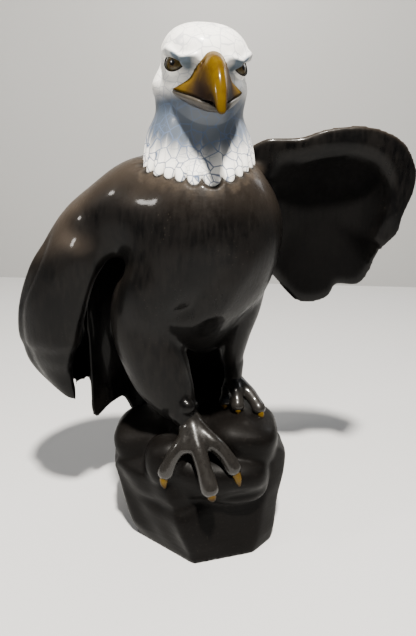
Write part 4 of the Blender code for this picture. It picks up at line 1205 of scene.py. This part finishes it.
def white_crackle():
    """Warm white glaze with a net of blue-grey crackle, coarse and plain on the neck, faint on the crown,
    with blue-grey painted shade on the upper neck and before the eyes.
    """
    glaze = Glaze("white crackle glaze", 0.38, 0.10, 0.14, 0.20)
    shift = glaze.node("ShaderNodeTexNoise", "Color", {"Vector": glaze.place, "Scale": 60})
    shift = glaze.node("ShaderNodeVectorMath", 0, {0: shift, "Scale": 0.006}, operation="SCALE")
    bent = glaze.node("ShaderNodeVectorMath", 0, {0: glaze.place, 1: shift}, operation="ADD")
    coarse = glaze.span(glaze.cells(120, source=bent), 0.0, 0.065, 1.0, 0.0)
    finer = glaze.span(glaze.cells(210, source=bent), 0.0, 0.07, 1.0, 0.0)
    patch = glaze.span(glaze.noise(50, 2), 0.42, 0.6)
    lines = glaze.math("MAXIMUM", coarse, glaze.times(finer, glaze.times(patch, 0.6)))
    lines = glaze.times(lines, glaze.span(glaze.point("low"), 0.0, 1.0, 0.42, 1.0))
    colour = glaze.layers(
        # Painted shade on the upper neck, blue-grey over the white.
        (0.92, 0.90, 0.85), (glaze.point("neck"), (0.062, 0.078, 0.104)),
        # Painted shade before the eyes and under the brows, blue-grey over the white.
        (glaze.point("lore_painted_shade", 0.95), (0.030, 0.060, 0.088)), (lines, (0.085, 0.12, 0.20)))
    return glaze.finish(colour, None, lines, -0.15, 0.0003)


def ochre_glaze():
    """Ochre-gold glaze: painted shade in brown on the bill's flanks and near black along the mouth's edge,
    brown in the wrinkles, and darker at the point.
    """
    glaze = Glaze("ochre glaze", 0.24, 0.20, 0.05, 0.06)
    cloud, flank_shade_and_dark_tip, forward = glaze.noise(90, 4, 0.6), glaze.point("flank_shade_and_dark_tip"), glaze.point("forward")
    colour = glaze.layers(
        (0.084, 0.048, 0.0012), (glaze.span(cloud, 0.35, 0.7), (0.045, 0.0225, 0.0010)),
        # Painted shade in brown on the bill's flanks; on the talons the same attribute darkens their points.
        (glaze.times(flank_shade_and_dark_tip, glaze.span(cloud, 0.2, 0.6, 0.7, 1.0)), (0.021, 0.0115, 0.0055)),
        # Painted shade: near black along the upper bill's mouth edge.
        (glaze.point("mouth", 0.85), (0.006, 0.0035, 0.003)),
        (glaze.point("cut", 0.85), (0.045, 0.022, 0.01)))
    rough = glaze.plus(glaze.span(forward, 0.45, 0.80, 0.85, 0.22), glaze.times(flank_shade_and_dark_tip, 0.3))
    coat = glaze.times(glaze.span(forward, 0.5, 0.85, 0.0, 0.20), glaze.math("SUBTRACT", 1.0, flank_shade_and_dark_tip))
    glaze.fill(glaze.shader, {"Coat Weight": coat})
    return glaze.finish(colour, rough, cloud, 0.10, 0.0004)


def horn_glaze():
    """Grey-brown glaze of the lower bill, lighter along its lip."""
    glaze = Glaze("horn glaze", 0.30, 0.25, 0.08, 0.30)
    cloud = glaze.noise(140, 4, 0.6)
    colour = glaze.layers((0.018, 0.015, 0.012), (glaze.span(cloud, 0.3, 0.7), (0.050, 0.042, 0.032)),
                          (glaze.point("lip", 0.30), (0.14, 0.125, 0.10)))
    return glaze.finish(colour, None, cloud, 0.06, 0.0003)


def eye_glaze():
    """Amber iris round a black pupil, darker at its rim."""
    glaze = Glaze("eye glaze", 0.25, 0.30, 0.03, 0.25)
    away = glaze.point("away")
    return glaze.finish(glaze.layers(
        (0.085, 0.058, 0.011), (glaze.span(glaze.noise(500, 4, 0.7), 0.35, 0.65), (0.034, 0.022, 0.006)),
        (glaze.times(glaze.span(away, 2.6, 3.2, 1.0, 0.0), 0.6), (0.06, 0.035, 0.012)),
        (glaze.span(away, 1.5, 2.0, 1.0, 0.0), (0.004, 0.004, 0.005)),
        (glaze.span(away, 5.0, 6.4), (0.020, 0.015, 0.008))))


# ---------------------------------------------------------------- studio

# Lights: place, width, power and colour
LIGHTS = {
    "key": ((0.05, -0.50, 1.38), 0.10, 76.0, (1.0, 0.95, 0.87)),
    "window": ((-1.25, -0.45, 0.95), 0.17, 8.0, (1.0, 0.96, 0.90)),
    "rim": ((0.9, 0.75, 0.9), 0.50, 3.5, (0.95, 0.97, 1.0)),
}
LIT_PLACE = Vector((0, 0, 0.25))
CAMERA_PLACE = (0, -0.368, 0.302)
CAMERA_DOWN, CAMERA_ROLL = np.radians(17.6), np.radians(1.4)
LENS, SENSOR = 27.74, 36


def studio():
    """Pale floor and back wall, three soft lights and the camera."""
    side, back, low = 3000, 900, -0.5
    meeting = [(side, back, low), (-side, back, low)]
    for name, tone, far in (("floor", (0.58, 0.58, 0.58), [(-side, -side, low), (side, -side, low)]),
                            ("wall", (0.36, 0.36, 0.355), [(-side, back, side), (side, back, side)])):
        sheet = placed(name, mesh_of(name, far + meeting, [(0, 1, 2, 3)]))
        sheet.data.materials.append(Glaze(name, 0.5).finish(tone))
    world = bpy.data.worlds.new("soft room")
    bpy.context.scene.world = world
    world.use_nodes = True
    world.node_tree.nodes["Background"].inputs["Color"].default_value = (0.55, 0.72, 1.0, 1.0)
    world.node_tree.nodes["Background"].inputs["Strength"].default_value = 0.10
    for name, (place, size, power, colour) in LIGHTS.items():
        light = bpy.data.lights.new(name, "AREA")
        light.shape, light.size, light.energy, light.color = "DISK", size, power, colour
        lamp = placed(name, light)
        lamp.location = place
        lamp.rotation_euler = (LIT_PLACE - Vector(place)).to_track_quat("-Z", "Y").to_euler()
    view = bpy.data.cameras.new("camera")
    view.lens, view.sensor_width = LENS, SENSOR
    camera = placed("camera", view)
    camera.matrix_world = (Matrix.Translation(CAMERA_PLACE)
                           @ Matrix.Rotation(0.5 * np.pi - CAMERA_DOWN, 4, "X")
                           @ Matrix.Rotation(CAMERA_ROLL, 4, "Z"))
    bpy.context.scene.camera = camera


studio()
# The feet's polished glaze is a lighter copy of the dark glaze: its lift is painted light, for the light the
# toes catch.
dark, polished = dark_glaze(), dark_glaze("polished dark glaze", 0.50, 0.14, 0.0035)
white, ochre, horn, amber = white_crackle(), ochre_glaze(), horn_glaze(), eye_glaze()
head_skin(white)
for eye_side, eye_sign in (("right", -1), ("left", 1)):
    eye_piece(eye_side, eye_sign, amber)
    eye_rim(eye_side, eye_sign, dark)
bill_piece(ochre)
jaw_piece(horn)
dark_skin(dark)
for foot_side, foot_toes in TOES.items():
    foot_piece(foot_side, polished)
    for toe_name in foot_toes:
        talon_piece(foot_side, toe_name, ochre)
rock_piece(rock_glaze())
